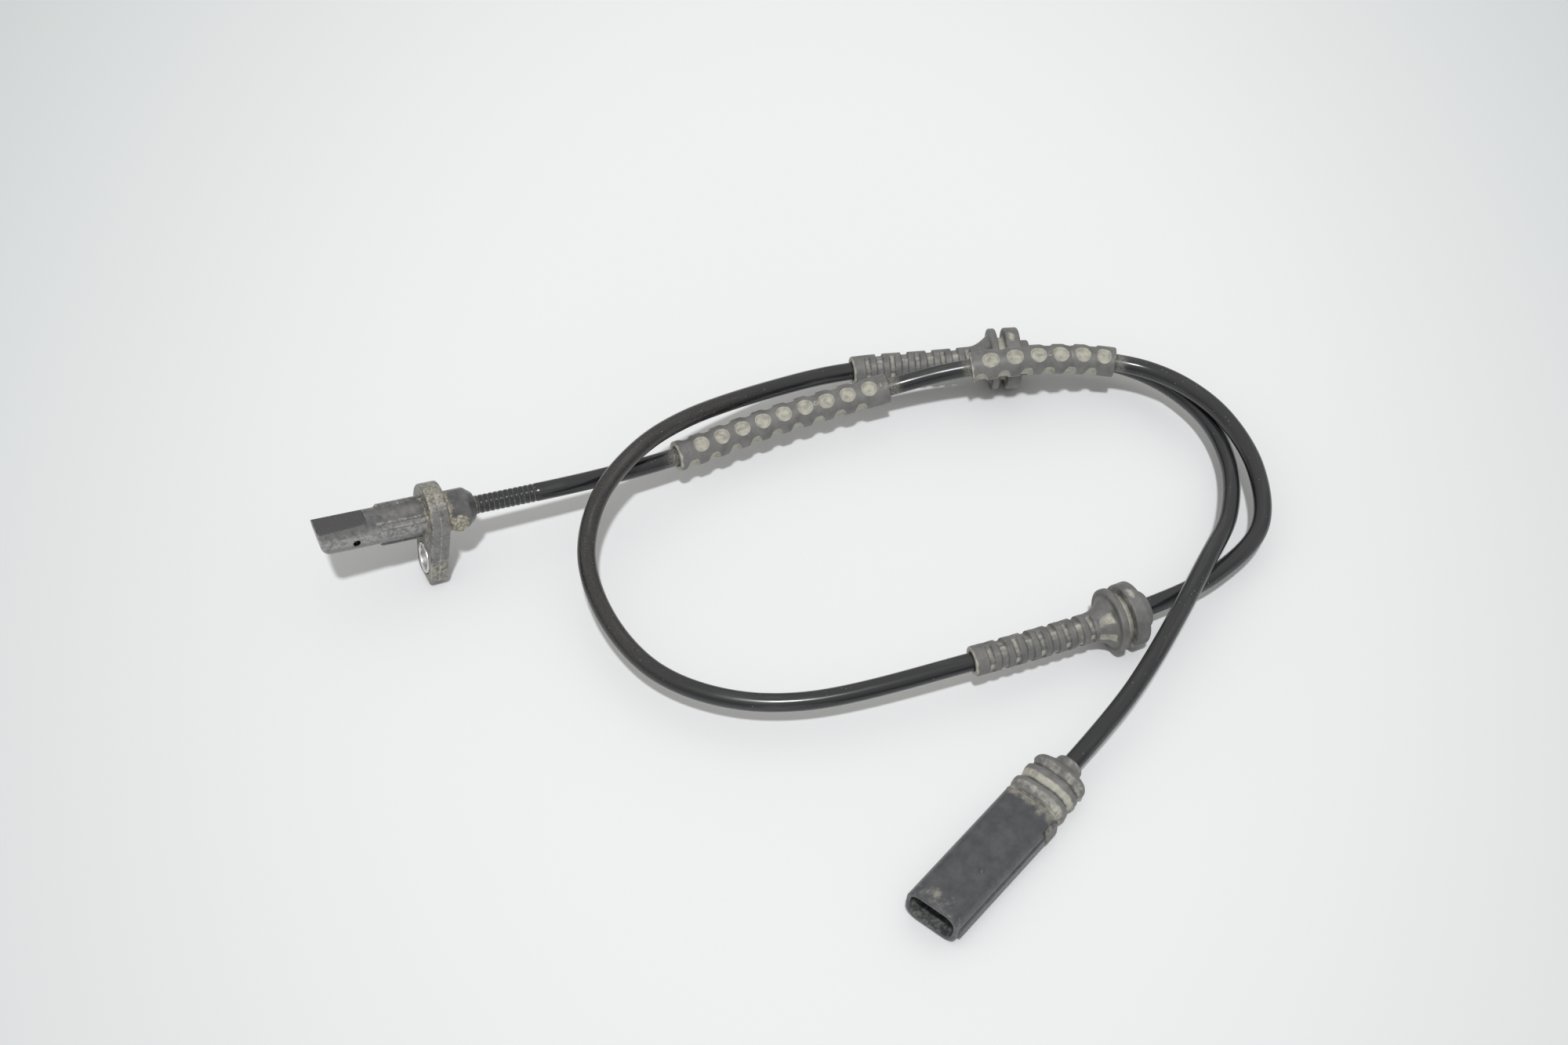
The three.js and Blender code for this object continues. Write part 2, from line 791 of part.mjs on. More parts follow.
// The boot follows the route up to the shell's rear face, and its plug stands straight in the shell
function boot() {
  const rear = -seatGap;
  const pitch = (bootLength - bootCollarLength) / bootRibs;
  const core = extruded(
    roundedSection(bootCoreWidth, bootCoreHeight, bootCoreHeight / 2 - 0.1),
    rear - bootLength + bootCollarLength,
    rear - 0.5,
    0,
    2,
    3,
  );
  const ribs = Array.from({ length: bootRibs }, (unused, index) => {
    const x1 = rear - index * pitch;
    const width = bootRibWidth - index * bootRibShrink;
    const height = bootRibHeight - index * bootRibShrink;
    const round = height / 2 - 0.1;
    const rib = extruded(roundedSection(width, height, round), x1 - bootRibLength, x1, 0.7, 2);
    return rib.translate(0, 0, bootRibLift);
  });
  const collar = rod(rear - bootLength, rear - bootLength + bootCollarLength + 1, bootCollarRadius, 16);
  const plugSection = roundedSection(innerWidth, innerHeight, innerRound);
  const plug = extruded(plugSection, rear - 1, bootPlugLength, 0, 2);
  const laid = (geometry) => laidOnRoute(geometry, plugAlong, 1);
  const straight = (geometry) => geometry.applyMatrix4(connector.matrixWorld);
  const bentBore = laid(rod(rear - bootLength - 1, 0, boreRadius, 16, bendStep / 3));
  const plugBore = straight(rod(-1, bootPlugLength + 1, boreRadius, 16));
  const body = joined([...[core, ...ribs, collar].map(laid), straight(plug)]);
  return cut(body, [bentBore, plugBore]);
}

// Assembly

const sensor = new THREE.Group();
sensor.add(head);

function onLead(name, geometry, material) {
  const mesh = new THREE.Mesh(geometry, material);
  mesh.name = name;
  sensor.add(mesh);
}

onLead('cable_jacket', cableTube(), jacket);
const longSleeve = sleeve(longSleeveLength, longFirstDimple, longSleeveDimples, longSleeveAlong);
const shortSleeve = sleeve(shortSleeveLength, shortFirstDimple, shortSleeveDimples, shortSleeveAlong);
onLead('dimpled_sleeve_long', longSleeve, rubber);
onLead('dimpled_sleeve_short', shortSleeve, rubber);
onLead('ribbed_grommet_outer', grommet(outerGrommetAlong, -1), rubber);
onLead('ribbed_grommet_inner', grommet(innerGrommetAlong, 1), rubber);
onLead('connector_boot', boot(), rubber);

sensor.add(connector);

function inConnector(name, geometry, material) {
  const mesh = new THREE.Mesh(geometry, material);
  mesh.name = name;
  connector.add(mesh);
}

inConnector('connector_shell', shell(), shellPlastic);
inConnector('pin_holder', pinHolder(), carrierPlastic);
inConnector('contact_pin_a', pin(-1), steel);
inConnector('contact_pin_b', pin(1), steel);
inConnector('plug_core_a', plugCore(-1), coreBlack);
inConnector('plug_core_b', plugCore(1), coreGrey);

export default sensor;
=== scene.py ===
# Wheel speed sensor with its lead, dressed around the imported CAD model.
# Pieces on the lead are made straight, in millimetres along x, and one Geometry Nodes tree lays
# them along the lead's route.

import math

import bmesh
import bpy
import numpy as np
from mathutils import Matrix, Vector


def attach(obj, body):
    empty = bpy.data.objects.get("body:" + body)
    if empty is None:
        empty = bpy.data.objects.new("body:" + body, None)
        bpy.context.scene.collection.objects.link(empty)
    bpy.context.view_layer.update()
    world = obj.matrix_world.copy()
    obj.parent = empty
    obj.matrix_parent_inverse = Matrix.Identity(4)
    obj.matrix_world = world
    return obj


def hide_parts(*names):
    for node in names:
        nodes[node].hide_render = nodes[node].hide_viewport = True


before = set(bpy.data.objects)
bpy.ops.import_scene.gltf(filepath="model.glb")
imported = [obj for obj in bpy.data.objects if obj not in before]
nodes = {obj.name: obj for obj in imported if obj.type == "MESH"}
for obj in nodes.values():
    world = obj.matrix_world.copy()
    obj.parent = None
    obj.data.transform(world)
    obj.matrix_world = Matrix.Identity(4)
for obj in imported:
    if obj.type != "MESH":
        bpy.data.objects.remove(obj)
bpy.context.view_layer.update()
scene = bpy.context.scene
MM = 0.001

# Camera

LOOK_AHEAD = Vector((0.38268, 0.92388, 0))
CAMERA_TARGET = Vector((0.10226, -0.02296, 0))
CAMERA_DISTANCE = 0.7792
CAMERA_ELEVATION = math.radians(50)
SENSOR_WIDTH = 36
LENS = 64.8
UP = Vector((0, 0, 1))


def set_up_camera():
    level = math.cos(CAMERA_ELEVATION) * CAMERA_DISTANCE
    height = math.sin(CAMERA_ELEVATION) * CAMERA_DISTANCE
    data = bpy.data.cameras.new("camera")
    data.sensor_width = SENSOR_WIDTH
    data.lens = LENS
    camera = bpy.data.objects.new("camera", data)
    camera.location = CAMERA_TARGET - LOOK_AHEAD * level + UP * height
    camera.rotation_euler = (CAMERA_TARGET - camera.location).to_track_quat("-Z", "Y").to_euler()
    scene.collection.objects.link(camera)
    scene.camera = camera


set_up_camera()

# The lead's route, in metres

ROUTE_POINTS = [
    (0.01109, 0.00014, 0.02010),
    (0.02148, 0.00014, 0.01864),
    (0.05550, -0.00070, 0.01520),
    (0.07990, 0.00030, 0.01290),
    (0.11050, 0.00270, 0.01230),
    (0.14410, 0.00120, 0.01340),
    (0.16050, -0.00210, 0.01630),
    (0.17750, -0.00690, 0.01820),
    (0.19050, -0.00980, 0.01700),
    (0.20300, -0.01360, 0.01490),
    (0.21370, -0.02020, 0.01370),
    (0.22140, -0.03040, 0.01340),
    (0.22630, -0.04440, 0.01270),
    (0.22610, -0.06340, 0.01100),
    (0.21830, -0.08060, 0.00880),
    (0.20050, -0.08980, 0.00790),
    (0.17450, -0.09390, 0.00890),
    (0.12510, -0.09420, 0.01150),
    (0.08050, -0.08840, 0.01030),
    (0.06100, -0.07860, 0.01020),
    (0.04830, -0.06400, 0.01050),
    (0.04290, -0.04290, 0.01130),
    (0.04510, -0.02290, 0.01360),
    (0.05370, -0.01040, 0.01900),
    (0.06750, -0.00140, 0.02200),
    (0.08450, 0.00620, 0.02000),
    (0.12050, 0.01520, 0.01080),
    (0.13850, 0.01480, 0.00890),
    (0.16100, 0.00840, 0.00890),
    (0.18350, 0.00180, 0.00890),
    (0.20250, -0.00500, 0.00790),
    (0.21670, -0.01800, 0.00750),
    (0.22390, -0.03690, 0.00740),
    (0.22210, -0.05540, 0.00780),
    (0.21230, -0.07390, 0.01020),
    (0.19700, -0.08900, 0.01390),
    (0.16050, -0.11800, 0.01130),
    (0.12631, -0.13565, 0.00530),
    (0.12190, -0.13800, 0.00530),
    (0.11784, -0.14016, 0.00530),
]
ROUTE_LENGTH = 871.39
CABLE_IN_PLUG = 4.6
PLUG_ALONG = ROUTE_LENGTH - CABLE_IN_PLUG
SAMPLES_A_SPAN = 48


def smooth_route(points):
    """A centripetal Catmull-Rom curve through the points, as the CAD route is"""
    knots = np.array(points)
    knots = np.vstack([2 * knots[0] - knots[1], knots, 2 * knots[-1] - knots[-2]])
    line = []
    for p0, p1, p2, p3 in zip(knots, knots[1:], knots[2:], knots[3:]):
        d0, d1, d2 = (np.sqrt(np.linalg.norm(b - a)) for a, b in ((p0, p1), (p1, p2), (p2, p3)))
        t1 = ((p1 - p0) / d0 - (p2 - p0) / (d0 + d1) + (p2 - p1) / d1) * d1
        t2 = ((p2 - p1) / d1 - (p3 - p1) / (d1 + d2) + (p3 - p2) / d2) * d1
        t = np.linspace(0, 1, SAMPLES_A_SPAN, endpoint=False)[:, None]
        bend = -3 * p1 + 3 * p2 - 2 * t1 - t2
        twist = 2 * p1 - 2 * p2 + t1 + t2
        line.append(p1 + t1 * t + bend * t ** 2 + twist * t ** 3)
    line.append(knots[-2][None, :])
    return np.vstack(line)


def route_curve():
    line = smooth_route(ROUTE_POINTS)
    data = bpy.data.curves.new("lead_route", "CURVE")
    data.dimensions = "3D"
    spline = data.splines.new("POLY")
    spline.points.add(len(line) - 1)
    spline.points.foreach_set("co", np.hstack([line, np.ones((len(line), 1))]).ravel())
    route = bpy.data.objects.new("lead_route", data)
    scene.collection.objects.link(route)
    return route


# Node helpers

def linear(code):
    """An sRGB hex colour as the linear colour that Blender's sockets take"""
    parts = [int(code[index:index + 2], 16) / 255 for index in (1, 3, 5)]
    return tuple(c / 12.92 if c <= 0.04045 else ((c + 0.055) / 1.055) ** 2.4 for c in parts) + (1.0,)


class Value:
    """A socket or node of a tree as a value that sums can be written with"""

    def __init__(self, tree, source):
        self.tree = tree
        self.source = source

    def calc(self, operation, *others, clamp=False):
        inputs = dict(enumerate((self, *others)))
        return Value(self.tree, add(
            self.tree, "ShaderNodeMath", inputs, operation=operation, use_clamp=clamp,
        ))

    def __add__(self, other):
        return self.calc("ADD", other)

    def __sub__(self, other):
        return self.calc("SUBTRACT", other)

    def __mul__(self, other):
        return self.calc("MULTIPLY", other)

    def __truediv__(self, other):
        return self.calc("DIVIDE", other)

    def __neg__(self):
        return self * -1.0


def add(tree, kind, inputs=None, **settings):
    """Adds a node with its settings, and its inputs as values or links"""
    made = tree.nodes.new(kind)
    for key, value in settings.items():
        setattr(made, key, value)
    by_identifier = {socket.identifier: socket for socket in made.inputs}
    for key, value in (inputs or {}).items():
        socket = by_identifier[key] if key in by_identifier else made.inputs[key]
        if isinstance(value, Value):
            value = value.source
        if isinstance(value, bpy.types.Node):
            is_colour_mix = value.bl_idname == "ShaderNodeMix" and value.data_type == "RGBA"
            value = value.outputs[2 if is_colour_mix else 0]
        if isinstance(value, bpy.types.NodeSocket):
            tree.links.new(value, socket)
        else:
            socket.default_value = value
    return made


def vector(tree, operation, *values, scale=1.0):
    inputs = {**dict(enumerate(values)), "Scale": scale}
    return add(tree, "ShaderNodeVectorMath", inputs, operation=operation)


def length_of(tree, source):
    return Value(tree, vector(tree, "LENGTH", source).outputs["Value"])


def ramp(tree, value, low, high, first=0.0, last=1.0, smooth=False):
    """Runs from first at low to last at high"""
    return Value(tree, add(tree, "ShaderNodeMapRange", {
        "Value": value, "From Min": low, "From Max": high, "To Min": first, "To Max": last,
    }, interpolation_type="SMOOTHSTEP" if smooth else "LINEAR"))


def blend(tree, share, below, above):
    """Mixes two colours, each an sRGB hex or a node"""
    below, above = (linear(value) if isinstance(value, str) else value for value in (below, above))
    return add(tree, "ShaderNodeMix", {
        "Factor_Float": share, "A_Color": below, "B_Color": above,
    }, data_type="RGBA")


def noise(tree, place, scale, detail, roughness=0.5):
    return Value(tree, add(tree, "ShaderNodeTexNoise", {
        "Vector": place, "Scale": scale, "Detail": detail, "Roughness": roughness,
    }))


def painted(tree, *names):
    """Attributes of the mesh as values"""
    return [
        Value(tree, add(tree, "ShaderNodeAttribute", attribute_name=name).outputs["Fac"])
        for name in names
    ]


def grains(tree, place, scale, size, fade, strength, chosen):
    """Round specks in some cells of a pattern: full within size, gone at fade"""
    cells = add(tree, "ShaderNodeTexVoronoi", {"Vector": place, "Scale": scale})
    speck = ramp(tree, cells.outputs["Distance"], size, fade, strength, 0.0)
    draw = add(tree, "ShaderNodeSeparateColor", {"Color": cells.outputs["Color"]})
    return speck * Value(tree, draw).calc("GREATER_THAN", chosen)


def bumps(tree, height, strength, millimetres):
    return add(tree, "ShaderNodeBump", {
        "Height": height, "Strength": strength, "Distance": millimetres * MM,
    })


# Meshes

def mesh_object(name, points, faces, attributes=None):
    """A closed mesh from points in millimetres, with its faces turned outwards"""
    points = np.asarray(points, float) * MM
    quads = np.array([face if len(face) == 4 else (*face, face[2]) for face in faces])
    a, b, c, d = (points[quads[:, index]] for index in range(4))
    volume = np.einsum("ij,ij->i", a, np.cross(b, c) + np.cross(c, d)).sum()
    if volume < 0:
        faces = [tuple(reversed(face)) for face in faces]
    data = bpy.data.meshes.new(name)
    data.from_pydata(points.tolist(), [], [tuple(int(i) for i in face) for face in faces])
    data.shade_smooth()
    made = bpy.data.objects.new(name, data)
    scene.collection.objects.link(made)
    give_attributes(made, {"straight": points / MM, **(attributes or {})})
    return made


def give_attributes(piece, attributes):
    for name, values in attributes.items():
        values = np.asarray(values, np.float32)
        kind, field = ("FLOAT_VECTOR", "vector") if values.ndim == 2 else ("FLOAT", "value")
        layer = piece.data.attributes.new(name, kind, "POINT")
        layer.data.foreach_set(field, values.ravel())


def ring_faces(rows, sides, closed):
    """Quads between rings of points: closed joins the last ring to the first one"""
    faces = []
    for row in range(rows if closed else rows - 1):
        here = row * sides
        there = ((row + 1) % rows) * sides
        for side in range(sides):
            beside = (side + 1) % sides
            faces.append((here + side, there + side, there + beside, here + beside))
    return faces


def ringed_piece(name, rings, closed, attributes=None):
    """A piece from rings of points (rows, sides, 3). An open one gets a pole at each end"""
    rows, sides, _ = rings.shape
    points = rings.reshape(-1, 3)
    faces = ring_faces(rows, sides, closed)
    attributes = {key: np.asarray(value).reshape(-1) for key, value in (attributes or {}).items()}
    if not closed:
        first, last = rings[0].mean(0), rings[-1].mean(0)
        start, end = len(points), len(points) + 1
        points = np.vstack([points, first, last])
        for side in range(sides):
            beside = (side + 1) % sides
            faces.append((start, side, beside))
            faces.append((end, (rows - 1) * sides + beside, (rows - 1) * sides + side))
        attributes = {key: np.append(value, [value[0], value[-1]]) for key, value in attributes.items()}
    return mesh_object(name, points, faces, attributes)


def joined(name, *pieces):
    """Joins pieces into the first one and names it"""
    with bpy.context.temp_override(active_object=pieces[0], selected_editable_objects=list(pieces)):
        bpy.ops.object.join()
    pieces[0].name = name
    pieces[0].data.name = name
    return pieces[0]


def finer(outline, step, rounding=0.0):
    """An outline of (x, radius) corners with its corners rounded and its lines cut to short steps"""
    corners = [np.array(corner, float) for corner in outline]
    line = []
    count = len(corners)
    for index, corner in enumerate(corners):
        before, after = corners[index - 1], corners[(index + 1) % count]
        room = min(np.linalg.norm(corner - before), np.linalg.norm(after - corner)) * 0.45
        cut = min(rounding, room)
        if cut < 1e-4:
            line.append(corner)
            continue
        start = corner + (before - corner) / np.linalg.norm(before - corner) * cut
        end = corner + (after - corner) / np.linalg.norm(after - corner) * cut
        for share in np.linspace(0, 1, 4):
            line.append((1 - share) ** 2 * start + 2 * share * (1 - share) * corner + share ** 2 * end)
    fine = []
    for here, there in zip(line, line[1:] + line[:1]):
        parts = max(1, round(np.linalg.norm(there - here) / step))
        fine.extend(here + (there - here) * part / parts for part in range(parts))
    return np.array(fine)


def turned_rings(outline, sides):
    """Rings round the x axis: angle 0 is the side that faces -y, and it rises towards +z"""
    angle = np.arange(sides) / sides * 2 * math.pi
    shape = (len(outline), sides)
    return tuple(np.broadcast_to(part, shape) for part in (outline[:, :1], outline[:, 1:], angle))


def placed(x, radius, angle):
    """The points of turned rings"""
    return np.stack([x, -radius * np.cos(angle), radius * np.sin(angle)], axis=-1)


def soft_step(low, high, value):
    """0 before low, 1 after high, and smooth between them"""
    share = np.clip((value - low) / (high - low), 0, 1)
    return share * share * (3 - 2 * share)


def plateau(value, rise, fall):
    """1 between a rise and a fall, which are each a start and an end"""
    return soft_step(*rise, value) * (1 - soft_step(*fall, value))


def bell(value, middle, width):
    """1 at the middle, and soon nothing beyond the width on either side of it"""
    return np.exp(-((value - middle) / width) ** 2)


def angle_from(angle, middle_degrees):
    """How far an angle is from a direction, in radians"""
    away = angle - math.radians(middle_degrees)
    return np.abs((away + math.pi) % (2 * math.pi) - math.pi)


# Geometry Nodes trees

def new_tree(name, inputs):
    """A tree with a geometry and the named inputs, all given as values, and a geometry out"""
    tree = bpy.data.node_groups.new(name, "GeometryNodeTree")
    tree.interface.new_socket("Geometry", in_out="OUTPUT", socket_type="NodeSocketGeometry")
    for label, kind in {"Geometry": "Geometry", **inputs, "Finish": "Material"}.items():
        tree.interface.new_socket(label, in_out="INPUT", socket_type=f"NodeSocket{kind}")
    given = add(tree, "NodeGroupInput")
    return tree, {socket.name: Value(tree, socket) for socket in given.outputs if socket.name}


def end_tree(tree, given, shape):
    plain = add(tree, "GeometryNodeRealizeInstances", {"Geometry": shape})
    dressed = add(tree, "GeometryNodeSetMaterial", {"Geometry": plain, "Material": given["Finish"]})
    add(tree, "NodeGroupOutput", {"Geometry": dressed})
    return tree


def own_place(tree):
    """The three parts of a point's position"""
    spot = add(tree, "ShaderNodeSeparateXYZ", {"Vector": add(tree, "GeometryNodeInputPosition")})
    return [Value(tree, socket) for socket in spot.outputs]


def made_by(tree, piece, values):
    """Runs a tree on a piece with its named inputs and keeps the result as a plain mesh"""
    modifier = piece.modifiers.new(tree.name, "NODES")
    modifier.node_group = tree
    for socket in tree.interface.items_tree:
        if socket.name in values:
            modifier[socket.identifier] = values[socket.name]
    depsgraph = bpy.context.evaluated_depsgraph_get()
    made = bpy.data.meshes.new_from_object(piece.evaluated_get(depsgraph))
    piece.modifiers.remove(modifier)
    piece.data = made
    made.name = piece.name
    return piece


def lay_tree():
    """Lays a straight piece along the lead, from a start and in one direction"""
    tree, given = new_tree("lay_along_lead", {
        "Lead": "Object", "Start": "Float", "Direction": "Float",
    })
    x, y, z = own_place(tree)
    lead = add(tree, "GeometryNodeObjectInfo", {"Object": given["Lead"]})
    sample = add(tree, "GeometryNodeSampleCurve", {
        "Curves": lead.outputs["Geometry"], "Length": x * given["Direction"] + given["Start"],
    }, mode="LENGTH")
    ahead = sample.outputs["Tangent"]
    left = vector(tree, "NORMALIZE", vector(tree, "CROSS_PRODUCT", (0, 0, 1), ahead))
    above = vector(tree, "CROSS_PRODUCT", ahead, left)
    sideways = vector(tree, "SCALE", left, scale=y * given["Direction"])
    upwards = vector(tree, "SCALE", above, scale=z)
    place = vector(tree, "ADD", sample.outputs["Position"], sideways)
    place = vector(tree, "ADD", place, upwards)
    return end_tree(tree, given, add(tree, "GeometryNodeSetPosition", {
        "Geometry": given["Geometry"], "Position": place,
    }))


DIMPLE_INPUTS = (
    "Radius", "First", "Pitch", "Last number", "Row turn", "Dimple radius", "Depth",
    "Notch turn", "Notch floor", "Notch length", "Notch width",
)
SKIN = 0.7
NOTCH_MARK = 0.04


def from_rows(x, turn, size, label, stagger):
    """How far a point is round and along the sleeve from the nearest spot of two opposite rows"""
    away = turn - size[label]
    away = away - (away / math.pi).calc("ROUND") * math.pi
    along = x + size["Pitch"] * stagger - size["First"]
    number = (along / size["Pitch"]).calc("ROUND").calc("MAXIMUM", 0.0)
    return away, along - number.calc("MINIMUM", size["Last number"]) * size["Pitch"]


def dimple_tree():
    """Presses two opposite rows of round dimples into a straight sleeve, and cuts two rows of notches
    with flat floors beside them, half a pitch on. Both are marked in the attribute dimple, which is
    kept before the shape is pressed"""
    tree, size = new_tree("press_dimples", dict.fromkeys(DIMPLE_INPUTS, "Float"))
    x, y, z = own_place(tree)
    side = add(tree, "ShaderNodeCombineXYZ", {"Y": y, "Z": z})
    reach = length_of(tree, side)
    turn = z.calc("ARCTAN2", -y)
    outside = (reach - size["Radius"]).calc("GREATER_THAN", -SKIN * MM)
    away, along = from_rows(x, turn, size, "Row turn", 0.0)
    flat = add(tree, "ShaderNodeCombineXYZ", {"X": along, "Y": away * size["Radius"]})
    gap = length_of(tree, flat) / size["Dimple radius"]
    dimple_depth = ramp(tree, gap, 0.8, 1.0, 1.0, 0.0, smooth=True) * size["Depth"]
    away, along = from_rows(x, turn, size, "Notch turn", 0.5)
    floor = size["Notch floor"] / away.calc("COSINE").calc("MAXIMUM", 0.25)
    across = away.calc("SINE") * reach / size["Notch width"]
    flat = add(tree, "ShaderNodeCombineXYZ", {"X": along / size["Notch length"], "Y": across})
    in_notch = ramp(tree, length_of(tree, flat), 0.68, 1.0, 1.0, 0.0, smooth=True)
    notch_depth = (reach - floor).calc("MAXIMUM", 0.0) * in_notch
    rim = ramp(tree, gap, 0.98, 1.12, 1.0, 0.0, smooth=True)
    wall = ramp(tree, gap, 0.6, 0.84, 0.78, 1.0, smooth=True)
    in_floor = notch_depth.calc("GREATER_THAN", NOTCH_MARK * MM) * 0.85
    kept = add(tree, "GeometryNodeStoreNamedAttribute", {
        "Geometry": size["Geometry"],
        "Name": "dimple",
        "Value": (rim * wall).calc("MAXIMUM", in_floor) * outside,
    }, data_type="FLOAT", domain="POINT")
    depth = dimple_depth.calc("MAXIMUM", notch_depth) * outside
    push = vector(tree, "SCALE", side, scale=-(depth / reach))
    pressed = add(tree, "GeometryNodeSetPosition", {"Geometry": kept, "Offset": push})
    return end_tree(tree, size, pressed)


# Finishes

def start_finish(name, shape=None):
    """A material, its tree, and the place to draw patterns at: a shape's attribute or the object"""
    material = bpy.data.materials.new(name)
    material.use_nodes = True
    tree = material.node_tree
    tree.nodes.clear()
    if shape:
        place = add(tree, "ShaderNodeAttribute", attribute_name=shape).outputs["Vector"]
    else:
        place = add(tree, "ShaderNodeTexCoord").outputs["Object"]
    return material, tree, place


def end_finish(material, inputs):
    shader = add(material.node_tree, "ShaderNodeBsdfPrincipled", inputs)
    add(material.node_tree, "ShaderNodeOutputMaterial", {"Surface": shader})
    return material


def weathered(name, base, pale, dust, dust_shade, rough, specks, film, dusty_rough=0.85, grain=5.0,
              grain_height=0.02, crackle=0.0, patch_scale=0.7, patch_roughness=0.58, blotch=3.2):
    """A moulded plastic or rubber with a pale film, dust where the piece collects it, and specks,
    lightened by rubbing and by painted sheen, and darkened by painted shade in creases and holes.
    Patterns are in millimetres along the piece's own straight shape"""
    material, tree, place = start_finish(name, "straight")
    dirt, wear, bare, deep = painted(tree, "dirt", "wear", "bare", "deep")
    cloud = noise(tree, place, 0.28, 6.0, 0.62)
    patch = noise(tree, place, patch_scale, 6.0, patch_roughness)
    film_share = ramp(tree, cloud, 0.34, 0.66, 0.1 * film, film) * (-bare + 1.0)
    colour = blend(tree, film_share, base, pale)
    # pale where rubbed, and painted sheen where wear marks it
    wear_and_sheen_share = ramp(tree, patch, 0.38, 0.6, 0.2, 1.0).calc("MULTIPLY", wear, clamp=True)
    colour = blend(tree, wear_and_sheen_share, colour, pale)
    uneven = patch * blotch - 0.5 * blotch + (cloud * 1.6 - 0.8)
    dust_share = ramp(tree, dirt * 1.6 + uneven, 0.3, 1.15) * ramp(tree, dirt, 0.02, 0.2)
    dusty = blend(tree, ramp(tree, patch, 0.3, 0.7, 1.0, 0.0), dust, dust_shade)
    if crackle:
        cracks = add(tree, "ShaderNodeTexVoronoi", {
            "Vector": place, "Scale": 0.6,
        }, feature="DISTANCE_TO_EDGE")
        dust_share = dust_share * ramp(tree, cracks, 0.03, 0.12, 1.0 - crackle, 1.0)
    colour = blend(tree, dust_share, colour, dusty)
    colour = blend(tree, grains(tree, place, 1.3, 0.06, 0.16, specks, 0.6), colour, "#B4B2A8")
    # painted shade: near black where the attribute marks creases and holes
    colour = blend(tree, deep, colour, "#0C0C0D")
    height = dust_share * patch * 7.0 + noise(tree, place, grain, 3.0)
    return end_finish(material, {
        "Base Color": colour,
        "Roughness": ramp(tree, dust_share, 0.0, 1.0, rough, dusty_rough),
        "Normal": bumps(tree, height, 1.0, grain_height),
    })


def extruded_jacket():
    # Polyurethane cable jacket, extruded: glossy black with specks and dull rubbed streaks along it
    material, tree, place = start_finish("polyurethane_jacket_extruded", "straight")
    dirt, scuff = painted(tree, "dirt", "scuff")
    stretched = add(tree, "ShaderNodeMapping", {"Vector": place, "Scale": (0.05, 0.6, 0.6)})
    streak = noise(tree, stretched, 1.1, 5.0)
    fine = noise(tree, place, 3.0, 4.0)
    rubbed = ramp(tree, streak, 0.5, 0.72, 0.0, 0.3) * noise(tree, place, 0.09, 3.0)
    colour = blend(tree, rubbed, "#222326", "#77777A")
    colour = blend(tree, ramp(tree, fine, 0.46, 0.66, 0.0, 0.35) * scuff, colour, "#5F554C")
    dusty = ramp(tree, fine, 0.4, 0.62, 0.2, 1.0) * dirt
    colour = blend(tree, dusty, colour, "#A3A196")
    colour = blend(tree, grains(tree, place, 0.75, 0.05, 0.11, 0.6, 0.62), colour, "#B9B8B2")
    dull = dusty.calc("ADD", rubbed, clamp=True)
    return end_finish(material, {
        "Base Color": colour,
        "Roughness": ramp(tree, dull, 0.0, 0.6, 0.2, 0.6),
        "Normal": bumps(tree, fine, 0.5, 0.006),
    })


def metal(name, colour, stained, rough):
    """A metal with a slightly uneven, stained surface, on the node's own coordinates"""
    material, tree, place = start_finish(name)
    cloud = noise(tree, place, 900.0, 4.0)
    return end_finish(material, {
        "Base Color": blend(tree, ramp(tree, cloud, 0.42, 0.7, 0.0, 0.7), colour, stained),
        "Metallic": 1.0,
        "Roughness": ramp(tree, cloud, 0.3, 0.7, rough, rough + 0.2),
        "Normal": bumps(tree, cloud, 0.4, 0.01),
    })


def inner_plastic(name, colour, speckle, rough):
    """A small moulded or insulated part inside, with a fine mottle"""
    material, tree, place = start_finish(name)
    mottle = noise(tree, place, 1400.0, 3.0)
    return end_finish(material, {
        "Base Color": blend(tree, mottle, colour, speckle),
        "Roughness": rough,
        "Normal": bumps(tree, mottle, 0.3, 0.01),
    })


# Glass-filled nylon, injection moulded: a matt dark grey under a dusty film, its dirt dried and cracked
nylon = weathered("glass_filled_nylon_moulded", "#434346", "#A09F9D", "#BFBAA8", "#A09984", 0.25,
                  specks=0.4, film=0.36, crackle=0.75, patch_scale=0.9, patch_roughness=0.66)
# EPDM rubber, compression moulded: a warm matt grey bloom with pale dust in every hollow
rubber = weathered("epdm_rubber_moulded", "#5F5F5F", "#8E8D8A", "#C4C2B6", "#9C9A90", 0.5,
                   specks=0.25, film=0.5, dusty_rough=0.9, grain_height=0.016,
                   patch_scale=0.5, blotch=1.9)
# PBT polyester, injection moulded: a smooth blue-grey satin with faint stains
polyester = weathered("pbt_polyester_moulded", "#393B3F", "#6A6B6E", "#8F8D86", "#77756C", 0.34,
                      specks=0.1, film=0.4, grain=7.0, grain_height=0.008, blotch=2.4)
jacket = extruded_jacket()
# Zinc-plated steel, rolled: bright with dull grey patches
zinc_steel = metal("zinc_plated_steel_rolled", "#E6E5E6", "#B5B2AC", 0.3)
# Tin-plated brass, stamped: silvery with faint yellow
tinned_brass = metal("tin_plated_brass_stamped", "#CFCBBB", "#A2987A", 0.28)
# Copper alloy, stamped: warm and slightly oxidised
copper_alloy = metal("copper_alloy_stamped", "#B87850", "#7D5238", 0.35)
# Nickel-plated ferrite: a grey metallic coat
nickel_coat = metal("nickel_coated_magnet", "#8F9295", "#6D7072", 0.35)
# Unfilled polyamide, moulded: near black and matt
black_polyamide = inner_plastic("black_polyamide_moulded", "#2A2B2D", "#343537", 0.6)
# Epoxy, transfer moulded: black with a fine grain
black_epoxy = inner_plastic("black_epoxy_moulded", "#1B1C1E", "#27282A", 0.5)
# Fired ceramic: tan and slightly glossy
tan_ceramic = inner_plastic("tan_ceramic_fired", "#B79A6C", "#A5885C", 0.45)
